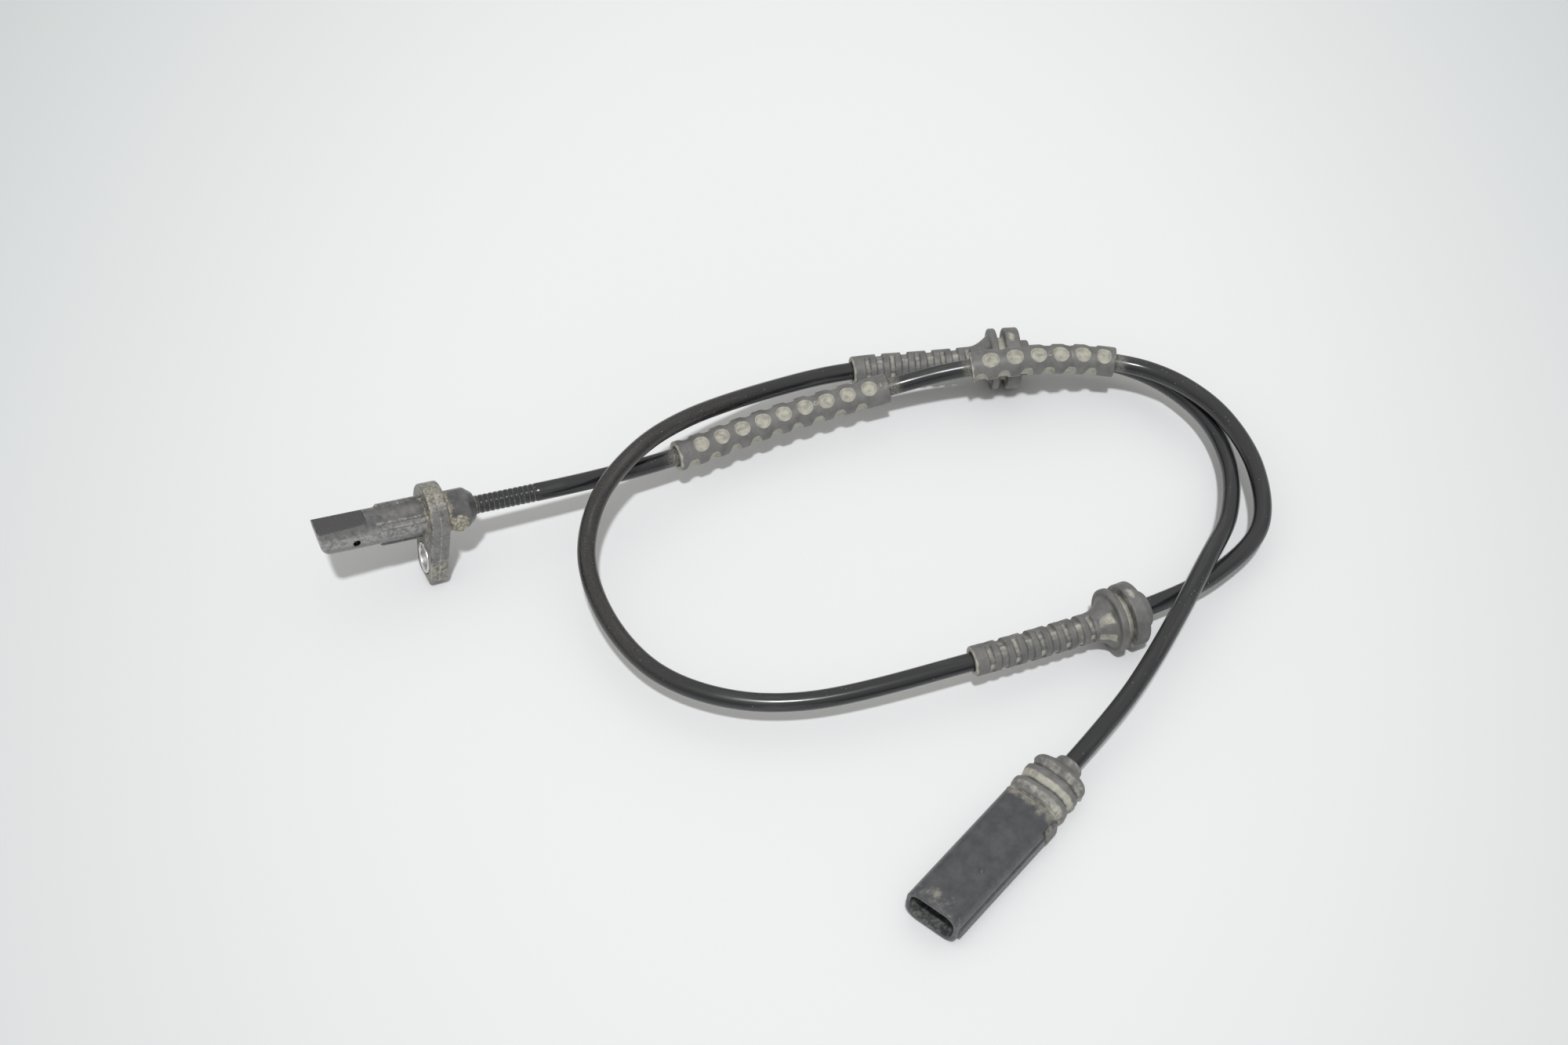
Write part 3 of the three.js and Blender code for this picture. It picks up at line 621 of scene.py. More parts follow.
# Core insulation, extruded: satin black and grey
black_core = inner_plastic("black_insulation_extruded", "#202022", "#29292B", 0.45)
grey_core = inner_plastic("grey_insulation_extruded", "#A8A8A8", "#979797", 0.45)

# Lead

route = route_curve()
lay_along_lead = lay_tree()
press_dimples = dimple_tree()


def laid(piece, start, direction, finish):
    return made_by(lay_along_lead, piece, {
        "Lead": route, "Start": start * MM, "Direction": float(direction), "Finish": finish,
    })


CABLE_RADIUS = 2.5
CABLE_SIDES = 28
CABLE_RINGS = 700
RINGS_START = 10.9
RING_PITCH = 1.42
RINGS = 12
RINGS_END = RINGS_START + RINGS * RING_PITCH
RING_STEPS = 12
RING_GROOVE = 0.14
GROOVE_RISE = (0.45, 0.6)
GROOVE_FALL = (0.85, 1.0)
HEAD_BEAD = 0.12
DUSTY_STRETCHES = ((66, 70.5), (133, 136.5), (155.5, 158), (199, 202))
LEFT_LOOP = (440, 585)
LOOP_FADE = 30


def cable():
    plain = np.arange(0, RINGS_START, 1.0)
    ridged = np.arange(RINGS_START, RINGS_END, RING_PITCH / RING_STEPS)
    rest = np.linspace(RINGS_END, ROUTE_LENGTH - 0.05, CABLE_RINGS)
    along = np.concatenate([plain, ridged, rest])
    outline = np.stack([along, np.full(len(along), CABLE_RADIUS)], axis=1)
    x, radius, angle = turned_rings(outline, CABLE_SIDES)
    in_rings = plateau(x, (RINGS_START - 0.1, RINGS_START + 0.1), (RINGS_END - 0.1, RINGS_END))
    phase = (x - RINGS_START) / RING_PITCH % 1
    bead = bell(x, RINGS_START - 0.2, 0.3)
    groove = plateau(phase, GROOVE_RISE, GROOVE_FALL) * in_rings
    radius = radius - RING_GROOVE * groove + HEAD_BEAD * bead
    edge = (1 - np.abs(phase - 0.4) / 0.12).clip(0, 1)
    under = 0.45 + 0.55 * soft_step(0.9, -0.5, np.sin(angle - 0.3))
    dirt = 0.8 * edge * in_rings * under + 0.8 * bead
    for start, end in DUSTY_STRETCHES:
        dirt += 0.65 * bell(x, (start + end) / 2, (end - start) / 2)
    start, end = LEFT_LOOP
    loop = plateau(x, (start, start + LOOP_FADE), (end - LOOP_FADE, end))
    attributes = {"dirt": dirt.clip(0, 1), "scuff": loop}
    return ringed_piece("cable_jacket_detail", placed(x, radius, angle), False, attributes)


cable_piece = laid(cable(), 0, 1, jacket)

# Dimpled sleeves

SLEEVE_RADIUS = 4.25
SLEEVE_BORE = 2.56
SLEEVE_MOUTH = 2.9
SLEEVE_MOUTH_DEPTH = 0.8
SLEEVE_SIDES = 132
SLEEVE_STEP = 0.23
SLEEVE_EDGE = 0.45
DIMPLE_PITCH = 6.44
DIMPLE_RADIUS = 2.15
DIMPLE_DEPTH = 0.95
DIMPLE_TURN = 67
NOTCH_TURN = 152
NOTCH_FLOOR = 3.1
NOTCH_LENGTH = 1.95
NOTCH_WIDTH = 3.7
DOT_HEIGHT = 0.22
END_DOT_HEIGHT = 0.12
CRACK_DEPTH = 0.3
LONG_SLEEVE = {"length": 64.2, "start": 69, "first": 6.9, "count": 9, "dot": 5.5, "crack": None}
SHORT_SLEEVE = {"length": 41.4, "start": 157.5, "first": 5.5, "count": 6, "dot": 2.5, "crack": 3.5}


def sleeve(name, size):
    """A sleeve with its dimples. The dot and the crack are counted in dimples from the first one"""
    length = size["length"]
    outline = finer([
        (length, SLEEVE_BORE),
        (length, SLEEVE_RADIUS),
        (0, SLEEVE_RADIUS),
        (0, SLEEVE_MOUTH),
        (SLEEVE_MOUTH_DEPTH, SLEEVE_BORE),
    ], SLEEVE_STEP, SLEEVE_EDGE)
    x, radius, angle = turned_rings(outline, SLEEVE_SIDES)
    outer = radius > SLEEVE_RADIUS - 0.3
    dirt = 0.85 * bell(x, -0.1, 0.55) + 0.25 * bell(x, length, 0.5)
    arc = radius * angle_from(angle, DIMPLE_TURN)
    dot_at = size["first"] + size["dot"] * DIMPLE_PITCH
    gap = np.hypot(x - dot_at, arc)
    dot = (1 - soft_step(0.55, 0.8, gap)) * outer
    dirt += 0.75 * dot * soft_step(0.3, 0.6, gap)
    end_gap = np.hypot(x - (length - 2.2), arc - 0.2)
    end_dot = (1 - soft_step(0.4, 0.65, end_gap)) * outer
    dirt += 0.5 * end_dot
    radius = radius + DOT_HEIGHT * dot + END_DOT_HEIGHT * end_dot
    if size["crack"]:
        crack_at = size["first"] + size["crack"] * DIMPLE_PITCH + 0.12 * np.sin(3 * angle)
        crack = bell(x, crack_at, 0.16) * outer
        radius = radius - CRACK_DEPTH * crack
        dirt += 0.5 * crack
    made = ringed_piece(name, placed(x, radius, angle), True, {"dirt": dirt.clip(0, 1)})
    made = made_by(press_dimples, made, {
        "Radius": SLEEVE_RADIUS * MM,
        "First": size["first"] * MM,
        "Pitch": DIMPLE_PITCH * MM,
        "Last number": float(size["count"] - 1),
        "Row turn": math.radians(DIMPLE_TURN),
        "Dimple radius": DIMPLE_RADIUS * MM,
        "Depth": DIMPLE_DEPTH * MM,
        "Notch turn": math.radians(NOTCH_TURN),
        "Notch floor": NOTCH_FLOOR * MM,
        "Notch length": NOTCH_LENGTH * MM,
        "Notch width": NOTCH_WIDTH * MM,
        "Finish": rubber,
    })
    layers = made.data.attributes
    pressed = np.zeros(len(made.data.vertices), np.float32)
    layers["dimple"].data.foreach_get("value", pressed)
    held = np.zeros_like(pressed)
    layers["dirt"].data.foreach_get("value", held)
    layers["dirt"].data.foreach_set("value", np.maximum(held, pressed * 0.98))
    return laid(made, size["start"], 1, rubber)


long_sleeve = sleeve("dimpled_sleeve_long_detail", LONG_SLEEVE)
short_sleeve = sleeve("dimpled_sleeve_short_detail", SHORT_SLEEVE)

# Ribbed grommets, from the small end

GROMMET_RADIUS = 4.1
GROMMET_COLLAR = 3.6
RIBS = 4
RING = 1.9
WINDOW = 1.5
WINDOW_DEPTH = 0.55
NOTCH = 1.9
NOTCH_DEPTH = 1.15
PERIOD = WINDOW + NOTCH + 2 * RING
CONE_START = GROMMET_COLLAR + RIBS * PERIOD + WINDOW
CONE_LENGTH = 5.6
CONE_RADIUS = 7.2
DISC_START = CONE_START + CONE_LENGTH
DISC_RADIUS = 8.75
FRONT_DISC = 2.0
DISC_GROOVE = 2.2
REAR_DISC = 4.0
NECK = 3.0
NECK_RADIUS = 5.0
GROOVE_RADIUS = NECK_RADIUS + 1
GROOVE_START = DISC_START + FRONT_DISC
REAR_START = GROOVE_START + DISC_GROOVE
NECK_START = REAR_START + REAR_DISC
GROMMET_LENGTH = NECK_START + NECK
GROMMET_SIDES = 96
GROMMET_STEP = 0.2
GROMMET_EDGE = 0.55
WEB_HALF_ANGLE = 7
GROMMET_TURN = 32
POCKET_ASIDE = 30
POCKET_HALF_ANGLE = 17
OUTER_GROMMET_START = 369.6
INNER_GROMMET_START = 607.6


def flare(share):
    return GROMMET_RADIUS + (CONE_RADIUS - GROMMET_RADIUS) * share ** 1.9


def grommet(name, start, direction):
    """A grommet with windows and cross notches along its stem, pockets in its cone and two discs"""
    cone = [(CONE_START + share * CONE_LENGTH, flare(share)) for share in np.linspace(0, 1, 9)]
    outline = finer([
        (0.1, SLEEVE_BORE),
        (0, SLEEVE_BORE + 0.12),
        (0, GROMMET_RADIUS),
        *cone,
        (DISC_START, DISC_RADIUS),
        (GROOVE_START, DISC_RADIUS),
        (GROOVE_START, GROOVE_RADIUS),
        (REAR_START, GROOVE_RADIUS),
        (REAR_START, DISC_RADIUS),
        (NECK_START, DISC_RADIUS),
        (NECK_START, NECK_RADIUS),
        (GROMMET_LENGTH, NECK_RADIUS),
        (GROMMET_LENGTH, SLEEVE_BORE),
    ], GROMMET_STEP, GROMMET_EDGE)
    x, radius, angle = turned_rings(outline, GROMMET_SIDES)
    outer = radius > GROMMET_RADIUS - 0.6
    dirt = 0.9 * bell(x, 0, 0.35) * (radius > 2.9)
    # painted shade: dark bands along the borders of the windows and notches and in the creases by the
    # discs
    deep = np.zeros_like(x)
    from_web = np.minimum(angle_from(angle, GROMMET_TURN), angle_from(angle, GROMMET_TURN + 180))
    web_half = math.radians(WEB_HALF_ANGLE)
    beside_web = plateau(from_web, (web_half, web_half + 0.1), (1.15, 1.35))
    across = np.sin(angle - math.radians(GROMMET_TURN))
    upward = np.abs(across)
    pale_patch = (across < 0) * (angle_from(angle, GROMMET_TURN - 25) < 0.28)
    for rib in range(RIBS + 1):
        begin = GROMMET_COLLAR + rib * PERIOD
        end = begin + WINDOW
        window = plateau(x, (begin - 0.1, begin + 0.15), (end - 0.15, end + 0.1)) * beside_web * outer
        radius = radius - WINDOW_DEPTH * window
        dirt += window * (0.34 + 0.62 * pale_patch)
        for border in (begin + 0.1, end - 0.1):
            deep += 0.5 * bell(x, border, 0.2) * outer * (from_web < 1.25)
        if rib == RIBS:
            continue
        begin = end + RING
        end = begin + NOTCH
        inside = plateau(x, (begin - 0.1, begin + 0.2), (end - 0.2, end + 0.1))
        floor = (GROMMET_RADIUS - NOTCH_DEPTH) / upward.clip(0.2)
        lowered = np.minimum(radius, floor + 0.02)
        radius = np.where(outer, radius + (lowered - radius) * inside, radius)
        for border in (begin, end):
            deep += 0.5 * bell(x, border, 0.2) * outer
        web_face = inside * outer * (1 - soft_step(0.72, 0.8, upward))
        radius = radius - 0.3 * web_face
        side_edge = bell(upward, 0.7, 0.1) * inside * outer
        dirt += 0.16 * web_face + 0.26 * side_edge + 0.12 * inside * outer * (upward > 0.85)
    in_ribs = (x > GROMMET_COLLAR) * (x < CONE_START) * outer
    dirt += 0.12 * in_ribs * (across > 0.3)
    share = ((x - CONE_START) / CONE_LENGTH).clip(0, 1)
    on_cone = outer * (x > CONE_START + 0.4) * (x < DISC_START - 0.05) * (radius < CONE_RADIUS + 0.2)
    pocket = np.zeros_like(x)
    half = math.radians(POCKET_HALF_ANGLE)
    for aside in (-POCKET_ASIDE, POCKET_ASIDE, 180 - POCKET_ASIDE, 180 + POCKET_ASIDE):
        away = angle_from(angle, GROMMET_TURN + aside)
        pocket = np.maximum(pocket, 1 - soft_step(half * 0.8, half, away))
    pocket = pocket * plateau(share, (0.16, 0.26), (0.88, 0.96)) * on_cone
    radius = radius - pocket * (0.2 + 1.1 * share ** 2)
    dirt += pocket * (0.3 + 0.6 * share) * np.where(across > 0, 0.75, 1.25)
    groove = plateau(x, (GROOVE_START - 0.1, GROOVE_START + 0.3), (REAR_START - 0.3, REAR_START + 0.2))
    dirt += 0.85 * groove * outer * (radius < DISC_RADIUS + 0.1)
    scuff = bell(x, REAR_START + 1.6, 0.9) * bell(angle_from(angle, 95), 0, 0.22)
    dirt += 0.7 * scuff * (radius > 7.5)
    for crease in (DISC_START, GROOVE_START + 0.3, REAR_START - 0.3, NECK_START + 0.1):
        deep += 0.35 * bell(x, crease, 0.25) * (radius > 4.5) * (radius < 7.9)
    attributes = {"dirt": dirt.clip(0, 1), "deep": deep.clip(0, 0.6)}
    made = ringed_piece(name, placed(x, radius, angle), True, attributes)
    return laid(made, start, direction, rubber)


outer_grommet = grommet("ribbed_grommet_outer_detail", OUTER_GROMMET_START, -1)
inner_grommet = grommet("ribbed_grommet_inner_detail", INNER_GROMMET_START, 1)

# Connector: x runs from the shell's rear face to its mouth

PLUG_REAR = (121.9, -138.0, 5.3)
PLUG_HEADING = math.radians(208)
PLUG_PLACE = Matrix.Translation(Vector(PLUG_REAR) * MM) @ Matrix.Rotation(PLUG_HEADING, 4, "Z")
ARC_POINTS = 12
SIDE_POINTS = (14, 5, 14, 5)


def rounded_ring(half_width, half_height, corner):
    """A rounded rectangle in y and z, from its -y side upwards"""
    arcs = []
    for side, rise, begin in ((-1, 1, 180), (1, 1, 90), (1, -1, 0), (-1, -1, -90)):
        middle = np.array((side * (half_width - corner), rise * (half_height - corner)))
        turns = np.radians(begin - 90 * np.arange(ARC_POINTS) / (ARC_POINTS - 1))
        arcs.append(middle + corner * np.stack([np.cos(turns), np.sin(turns)], axis=1))
    ring = []
    for index, count in enumerate(SIDE_POINTS):
        here, there = arcs[index][-1], arcs[(index + 1) % len(arcs)][0]
        share = np.arange(1, count + 1)[:, None] / (count + 1)
        ring += [arcs[index], here + (there - here) * share]
    return np.vstack(ring)


def oval_rings(stations):
    """Rings from stations of (x, half width, half height, corner)"""
    rings = []
    for x, half_width, half_height, corner in stations:
        ring = rounded_ring(half_width, half_height, min(corner, half_height - 0.02, half_width - 0.02))
        rings.append(np.hstack([np.full((len(ring), 1), x), ring]))
    return np.array(rings)


SHELL_LENGTH = 41.0
SHELL_HALF_WIDTH = 7.9
SHELL_HALF_HEIGHT = 4.9
SHELL_CORNER = 4.1
WALL = 1.3
LIP_BELOW = 0.7
LIP_ROUND = 0.5
LIP_INSIDE = 0.35
REAR_ROUND = 0.4
SHELL_STEP = 0.6
BORE_STEP = 0.8
SHELL_SAG = 0.006
MARK_PLACE = (25.2, 3.2, 5.15)


def shell_stains(x, y, z):
    """Dust spots on the upper face of the shell, each at (x, y) with two widths and a strength"""
    spots = ((37.5, -0.9, 1.5, 1.6, 0.5), (36.7, 2.8, 1.1, 0.9, 0.3), (12.8, -2.4, 3.5, 1.8, 0.16))
    return sum(
        strength * bell(x, at_x, long) * bell(y, at_y, wide) * (z > 0)
        for at_x, at_y, long, wide, strength in spots
    )


def connector_shell():
    """The hollow shell: its rings run over the rear round, the outside, the lip and the bore"""
    turns = np.linspace(0, math.pi / 2, 5)
    lip_start = SHELL_LENGTH - LIP_ROUND
    pairs = [(0, WALL)]
    pairs += [(REAR_ROUND * (1 - math.sin(t)), REAR_ROUND * (1 - math.cos(t))) for t in turns[::-1]]
    pairs += [(x, 0.0) for x in np.arange(1, lip_start - 0.2, SHELL_STEP)]
    pairs += [(lip_start + LIP_ROUND * math.sin(t), LIP_ROUND * (1 - math.cos(t))) for t in turns]
    pairs += [
        (SHELL_LENGTH - LIP_INSIDE * (1 - math.cos(t)), WALL - LIP_INSIDE * (1 - math.sin(t)))
        for t in turns
    ]
    pairs += [(x, WALL) for x in np.arange(SHELL_LENGTH - 1, 0.5, -BORE_STEP)]
    rings = oval_rings([
        (x, SHELL_HALF_WIDTH - inset, SHELL_HALF_HEIGHT - inset, SHELL_CORNER - inset)
        for x, inset in pairs
    ])
    inset = np.array([pair[1] for pair in pairs])[:, None]
    x, y, z = (rings[..., axis] for axis in range(3))
    outer = inset < WALL - 0.1
    x += LIP_BELOW * soft_step(-1.5, 3.5, -z) * soft_step(SHELL_LENGTH - 6, SHELL_LENGTH, x)
    z -= SHELL_SAG * np.sin(x * 0.16 + 0.6) * outer
    dirt = 0.16 * soft_step(SHELL_LENGTH - 5, SHELL_LENGTH - 3, x) * outer
    dirt += shell_stains(x, y, z) * outer + 0.8 * bell(x, 0, 2.2) * outer
    dirt += 0.28 * (~outer) * (z < 0) * soft_step(28, 40, x)
    mouth = soft_step(SHELL_LENGTH - 1.6, SHELL_LENGTH - 0.6, x)
    # lighter at the mouth's edge from rubbing, and painted sheen along the rounded long sides
    wear = 0.25 * mouth * outer + 0.25 * soft_step(5.5, 7.6, np.abs(y)) * outer
    attributes = {"dirt": dirt.clip(0, 1), "wear": wear.clip(0, 1)}
    return ringed_piece("connector_shell_detail", rings, True, attributes)


def evenly(rings, dirt, wear):
    """The same dirt and wear on every point of the rings"""
    shape = rings.shape[:2]
    return {"dirt": np.full(shape, dirt), "wear": np.full(shape, wear)}


def lofted_block(name, x_range, y_range, z_range, rounding, dirt=0.0, wear=0.3):
    """A bar with rounded edges and ends"""
    (x0, x1), (y0, y1), (z0, z1) = x_range, y_range, z_range
    half_y, half_z = (y1 - y0) / 2, (z1 - z0) / 2
    turns = np.linspace(0, math.pi / 2, 5)
    pairs = []
    for turn in turns:
        inwards, inset = rounding * (1 - math.sin(turn)), rounding * (1 - math.cos(turn))
        pairs += [(x0 + inwards, inset), (x1 - inwards, inset)]
    rings = oval_rings([(x, half_y - inset, half_z - inset, rounding) for x, inset in sorted(pairs)])
    rings[..., 1] += (y0 + y1) / 2
    rings[..., 2] += (z0 + z1) / 2
    return ringed_piece(name, rings, False, evenly(rings, dirt, wear))


def mark():
    """A small moulded dot on the shell's upper face"""
    outline = np.array([(0, 0.02), (0.0, 0.4), (-0.08, 0.65), (-0.25, 0.8), (-0.9, 0.85), (-0.9, 0.02)])
    rings = placed(*turned_rings(outline, 20))
    rings = np.roll(rings, -1, axis=-1) + MARK_PLACE
    return ringed_piece("mark", rings, False, evenly(rings, 0.0, 0.0))


def finished_shell():
    rail = lofted_block("rail", (4, SHELL_LENGTH - 0.8), (7.2, 8.3), (-2.8, 0.0), 0.35)
    lug = lofted_block("lug", (0, 5), (7.2, 8.6), (-2.5, 2.5), 0.5, dirt=0.35)
    whole = joined("connector_shell_detail", connector_shell(), rail, lug, mark())
    whole.data.transform(PLUG_PLACE)
    whole.data.materials.append(polyester)
    return whole


BOOT_LENGTH = 16.6
BOOT_REAR = -0.3
BOOT_RIBS = 3
BOOT_COLLAR = 2.2
BOOT_LIFT = 0.5
BOOT_PITCH = (BOOT_LENGTH - BOOT_COLLAR) / BOOT_RIBS
BOOT_STEP = 0.2
BOOT_WIDTH = 16.6
BOOT_HEIGHT = 11.4
RIB_TAPER = 0.4
RIB_CREST = 0.68
RIB_DUST = (0.38, 0.8, 0.3)
VALLEY_HALF_WIDTH = 6.0
VALLEY_HALF_HEIGHT = 3.9
COLLAR_RADIUS = 3.85
COLLAR_END = BOOT_REAR - BOOT_LENGTH
COLLAR_START = COLLAR_END + BOOT_COLLAR
BORE_STATIONS = (4.2, 0.0, -4.0, -8.0, -12.0, -15.0, COLLAR_END + 0.4, COLLAR_END + 0.1)


def boot_size(x):
    """Half width, half height and dirt at x: a rib is steep behind and slopes to the front"""
    from_front = (BOOT_REAR - x) / BOOT_PITCH
    rib = min(int(from_front), BOOT_RIBS - 1)
    share = from_front - rib
    if rib == BOOT_RIBS - 1 and share > 0.35:
        lobe = 1.0 - 0.85 * soft_step(0.35, 1.0, share) ** 1.6
    elif share < RIB_CREST:
        lobe = 0.62 + 0.38 * soft_step(0.0, RIB_CREST, share) ** 0.8
        lobe = lobe * (0.3 + 0.7 * soft_step(-0.02, 0.12, share)) if rib else lobe
    else:
        lobe = 1.0 - 0.98 * soft_step(RIB_CREST + 0.1, 1.0, share) ** 1.5
    half_width = VALLEY_HALF_WIDTH + ((BOOT_WIDTH - rib * RIB_TAPER) / 2 - VALLEY_HALF_WIDTH) * lobe
    half_height = VALLEY_HALF_HEIGHT + ((BOOT_HEIGHT - rib * RIB_TAPER) / 2 - VALLEY_HALF_HEIGHT) * lobe
    front_face = soft_step(0.0, 0.1, share) * (1 - soft_step(0.4, 0.6, share))
    dirt = RIB_DUST[rib] * front_face + 0.25 * soft_step(0.9, 1.0, share)
    return half_width, half_height, float(dirt)


def boot():
    """The boot in rows of (x, half width, half height, corner, dirt, wear): over the collar and the
    ribs, round the plug that fills the shell's rear, and back along the bore"""
    rows = []
    for turn in np.linspace(0, math.pi / 2, 6):
        radius = 2.7 + 1.1 * math.sin(turn)
        rows.append((COLLAR_END + 1.2 * (1 - math.cos(turn)), radius, radius, radius, 0.25, 0.3))
    for x in np.arange(COLLAR_END + 1.4, COLLAR_START + 0.05, BOOT_STEP):
        rows.append((x, COLLAR_RADIUS, COLLAR_RADIUS, COLLAR_RADIUS, 0.15, 0.0))
    for x in np.arange(COLLAR_START + 0.1, BOOT_REAR - 0.01, BOOT_STEP):
        half_width, half_height, dust = boot_size(x)
        share = soft_step(COLLAR_START - 0.6, COLLAR_START + 1.4, x)
        half_width = COLLAR_RADIUS + (half_width - COLLAR_RADIUS) * share
        half_height = COLLAR_RADIUS + (half_height - COLLAR_RADIUS) * share
        rows.append((x, half_width, half_height, half_height - 0.1, dust, 0.1))
    for x, inset in ((BOOT_REAR, 0.25), (BOOT_REAR + 0.02, 1.6)):
        rows.append((x, 8.2 - inset, 5.0 - inset, 3.8, 0.7, 0.0))
    rows += [(x, 6.3, 3.3, 2.5, 0.2, 0.0) for x in (BOOT_REAR + 0.1, 1.5, 3.0, 4.2)]
    rows += [(x, SLEEVE_BORE, SLEEVE_BORE, SLEEVE_BORE, 0.3, 0.0) for x in BORE_STATIONS]
    rings = oval_rings([row[:4] for row in rows])
    raised = plateau(rings[..., 0], (COLLAR_START, COLLAR_START + 2), (BOOT_REAR - 0.1, BOOT_REAR))
    reach = np.hypot(rings[..., 1], rings[..., 2])
    rings[..., 2] += BOOT_LIFT * raised * (reach > 3.2)
    columns = np.array(rows)[:, 4:, None] * np.ones(rings.shape[1])
    attributes = {"dirt": columns[:, 0], "wear": columns[:, 1]}
    made = ringed_piece("connector_boot_detail", rings, True, attributes)
    return laid(made, PLUG_ALONG, 1, rubber)


shell_piece = finished_shell()
boot_piece = boot()

# Sensor head

HEAD_PLACE = Matrix.Translation(Vector((7.32280, 0.14379, 20.63042)) * MM)
HEAD_PLACE = HEAD_PLACE @ Matrix.Rotation(math.radians(8), 4, "Y")
HEAD_TURN = np.array(HEAD_PLACE)[:3, :3]
VOXEL = 0.21


def softened(piece):
    """Closes a solid's shape and softens its edges by a voxel's width or so"""
    shape = bmesh.new()
    shape.from_mesh(piece.data)
    bmesh.ops.remove_doubles(shape, verts=shape.verts, dist=1e-6)
    bmesh.ops.recalc_face_normals(shape, faces=shape.faces)
    shape.to_mesh(piece.data)
    shape.free()
    remesh = piece.modifiers.new("remesh", "REMESH")
    remesh.mode = "VOXEL"
    remesh.voxel_size = VOXEL * MM
    soften = piece.modifiers.new("soften", "SMOOTH")
    soften.factor = 0.5
    soften.iterations = 4
    depsgraph = bpy.context.evaluated_depsgraph_get()
    data = bpy.data.meshes.new_from_object(piece.evaluated_get(depsgraph))
    piece.modifiers.clear()
    piece.data = data
    data.name = piece.name


def sensor_housing():
    """The CAD housing with its edges softened as a moulding's are, and its dirt, rubbed places, painted
    sheen and painted shade marked
    """
    piece = bpy.data.objects.new("sensor_housing_detail", nodes["sensor_housing"].data.copy())
    scene.collection.objects.link(piece)
    piece.data.materials.clear()
    softened(piece)
    data = piece.data
    spots = read_vectors(data.vertices, "co")
    back = np.array(HEAD_PLACE.inverted())
    local = (spots @ back[:3, :3].T + back[:3, 3]) / MM
    rounded = round_tip(local)
    moved = spots + (rounded - local) @ HEAD_TURN.T * MM
    data.vertices.foreach_set("co", moved.ravel())
    marks = head_dirt(rounded)
    marks["wear"] = (marks["wear"] + 0.8 * sharp_edges(data, rounded)).clip(0, 1)
    give_attributes(piece, {"straight": rounded, **marks})
    data.shade_smooth()
    data.materials.append(nylon)
    return piece


TIP = -29.8
TIP_ROUND = 2.0
TIP_SLANT = math.radians(12)
FLAT_TURN = math.radians(95)
FLAT_RISE = 3.75
FLAT_LENGTH = 13.5
NOSE_RADIUS = 5.0
RIB_TURNS = (38, 128, 218, 308)


def read_vectors(items, field, kind=float):
    values = np.zeros(len(items) * 3, kind)
    items.foreach_get(field, values)
    return values.reshape(-1, 3)


def from_tip(local):
    """How far a point lies behind the slanted tip, and how high it is towards the flat"""
    x, y, z = local.T
    rise = -y * math.cos(FLAT_TURN) + z * math.sin(FLAT_TURN)
    return x - (TIP + (FLAT_RISE - rise) * math.tan(TIP_SLANT)), rise


def round_tip(local):
    """Rounds the tip's lower edge, as the mould does"""
    behind, rise = from_tip(local)
    x, y, z = local.T
    radius = np.hypot(y, z)
    share = (behind / TIP_ROUND).clip(0, 1)
    limit = NOSE_RADIUS - TIP_ROUND * (1 - np.sqrt(1 - (1 - share) ** 2))
    lower = soft_step(2.4, 0.0, rise) * (x < TIP + 8)
    wanted = np.minimum(radius, limit)
    scale = 1 + (wanted / radius.clip(0.01) - 1) * lower
    return np.stack([x, y * scale, z * scale], axis=1)


def sharp_edges(data, local):
    """Marks the outward edges of a shape, from how far each point stands out of its neighbours"""
    ends = np.zeros(len(data.edges) * 2, np.int32)
    data.edges.foreach_get("vertices", ends)
    ends = ends.reshape(-1, 2)
    normals = read_vectors(data.vertices, "normal", np.float32) @ HEAD_TURN
    middle = local.copy()
    for _ in range(3):
        total = np.zeros_like(local)
        number = np.zeros(len(local))
        for one, other in ((0, 1), (1, 0)):
            np.add.at(total, ends[:, one], middle[ends[:, other]])
            np.add.at(number, ends[:, one], 1)
        middle = total / number[:, None].clip(1)
    standing = np.einsum("ij,ij->i", local - middle, normals)
    return soft_step(0.025, 0.075, standing)


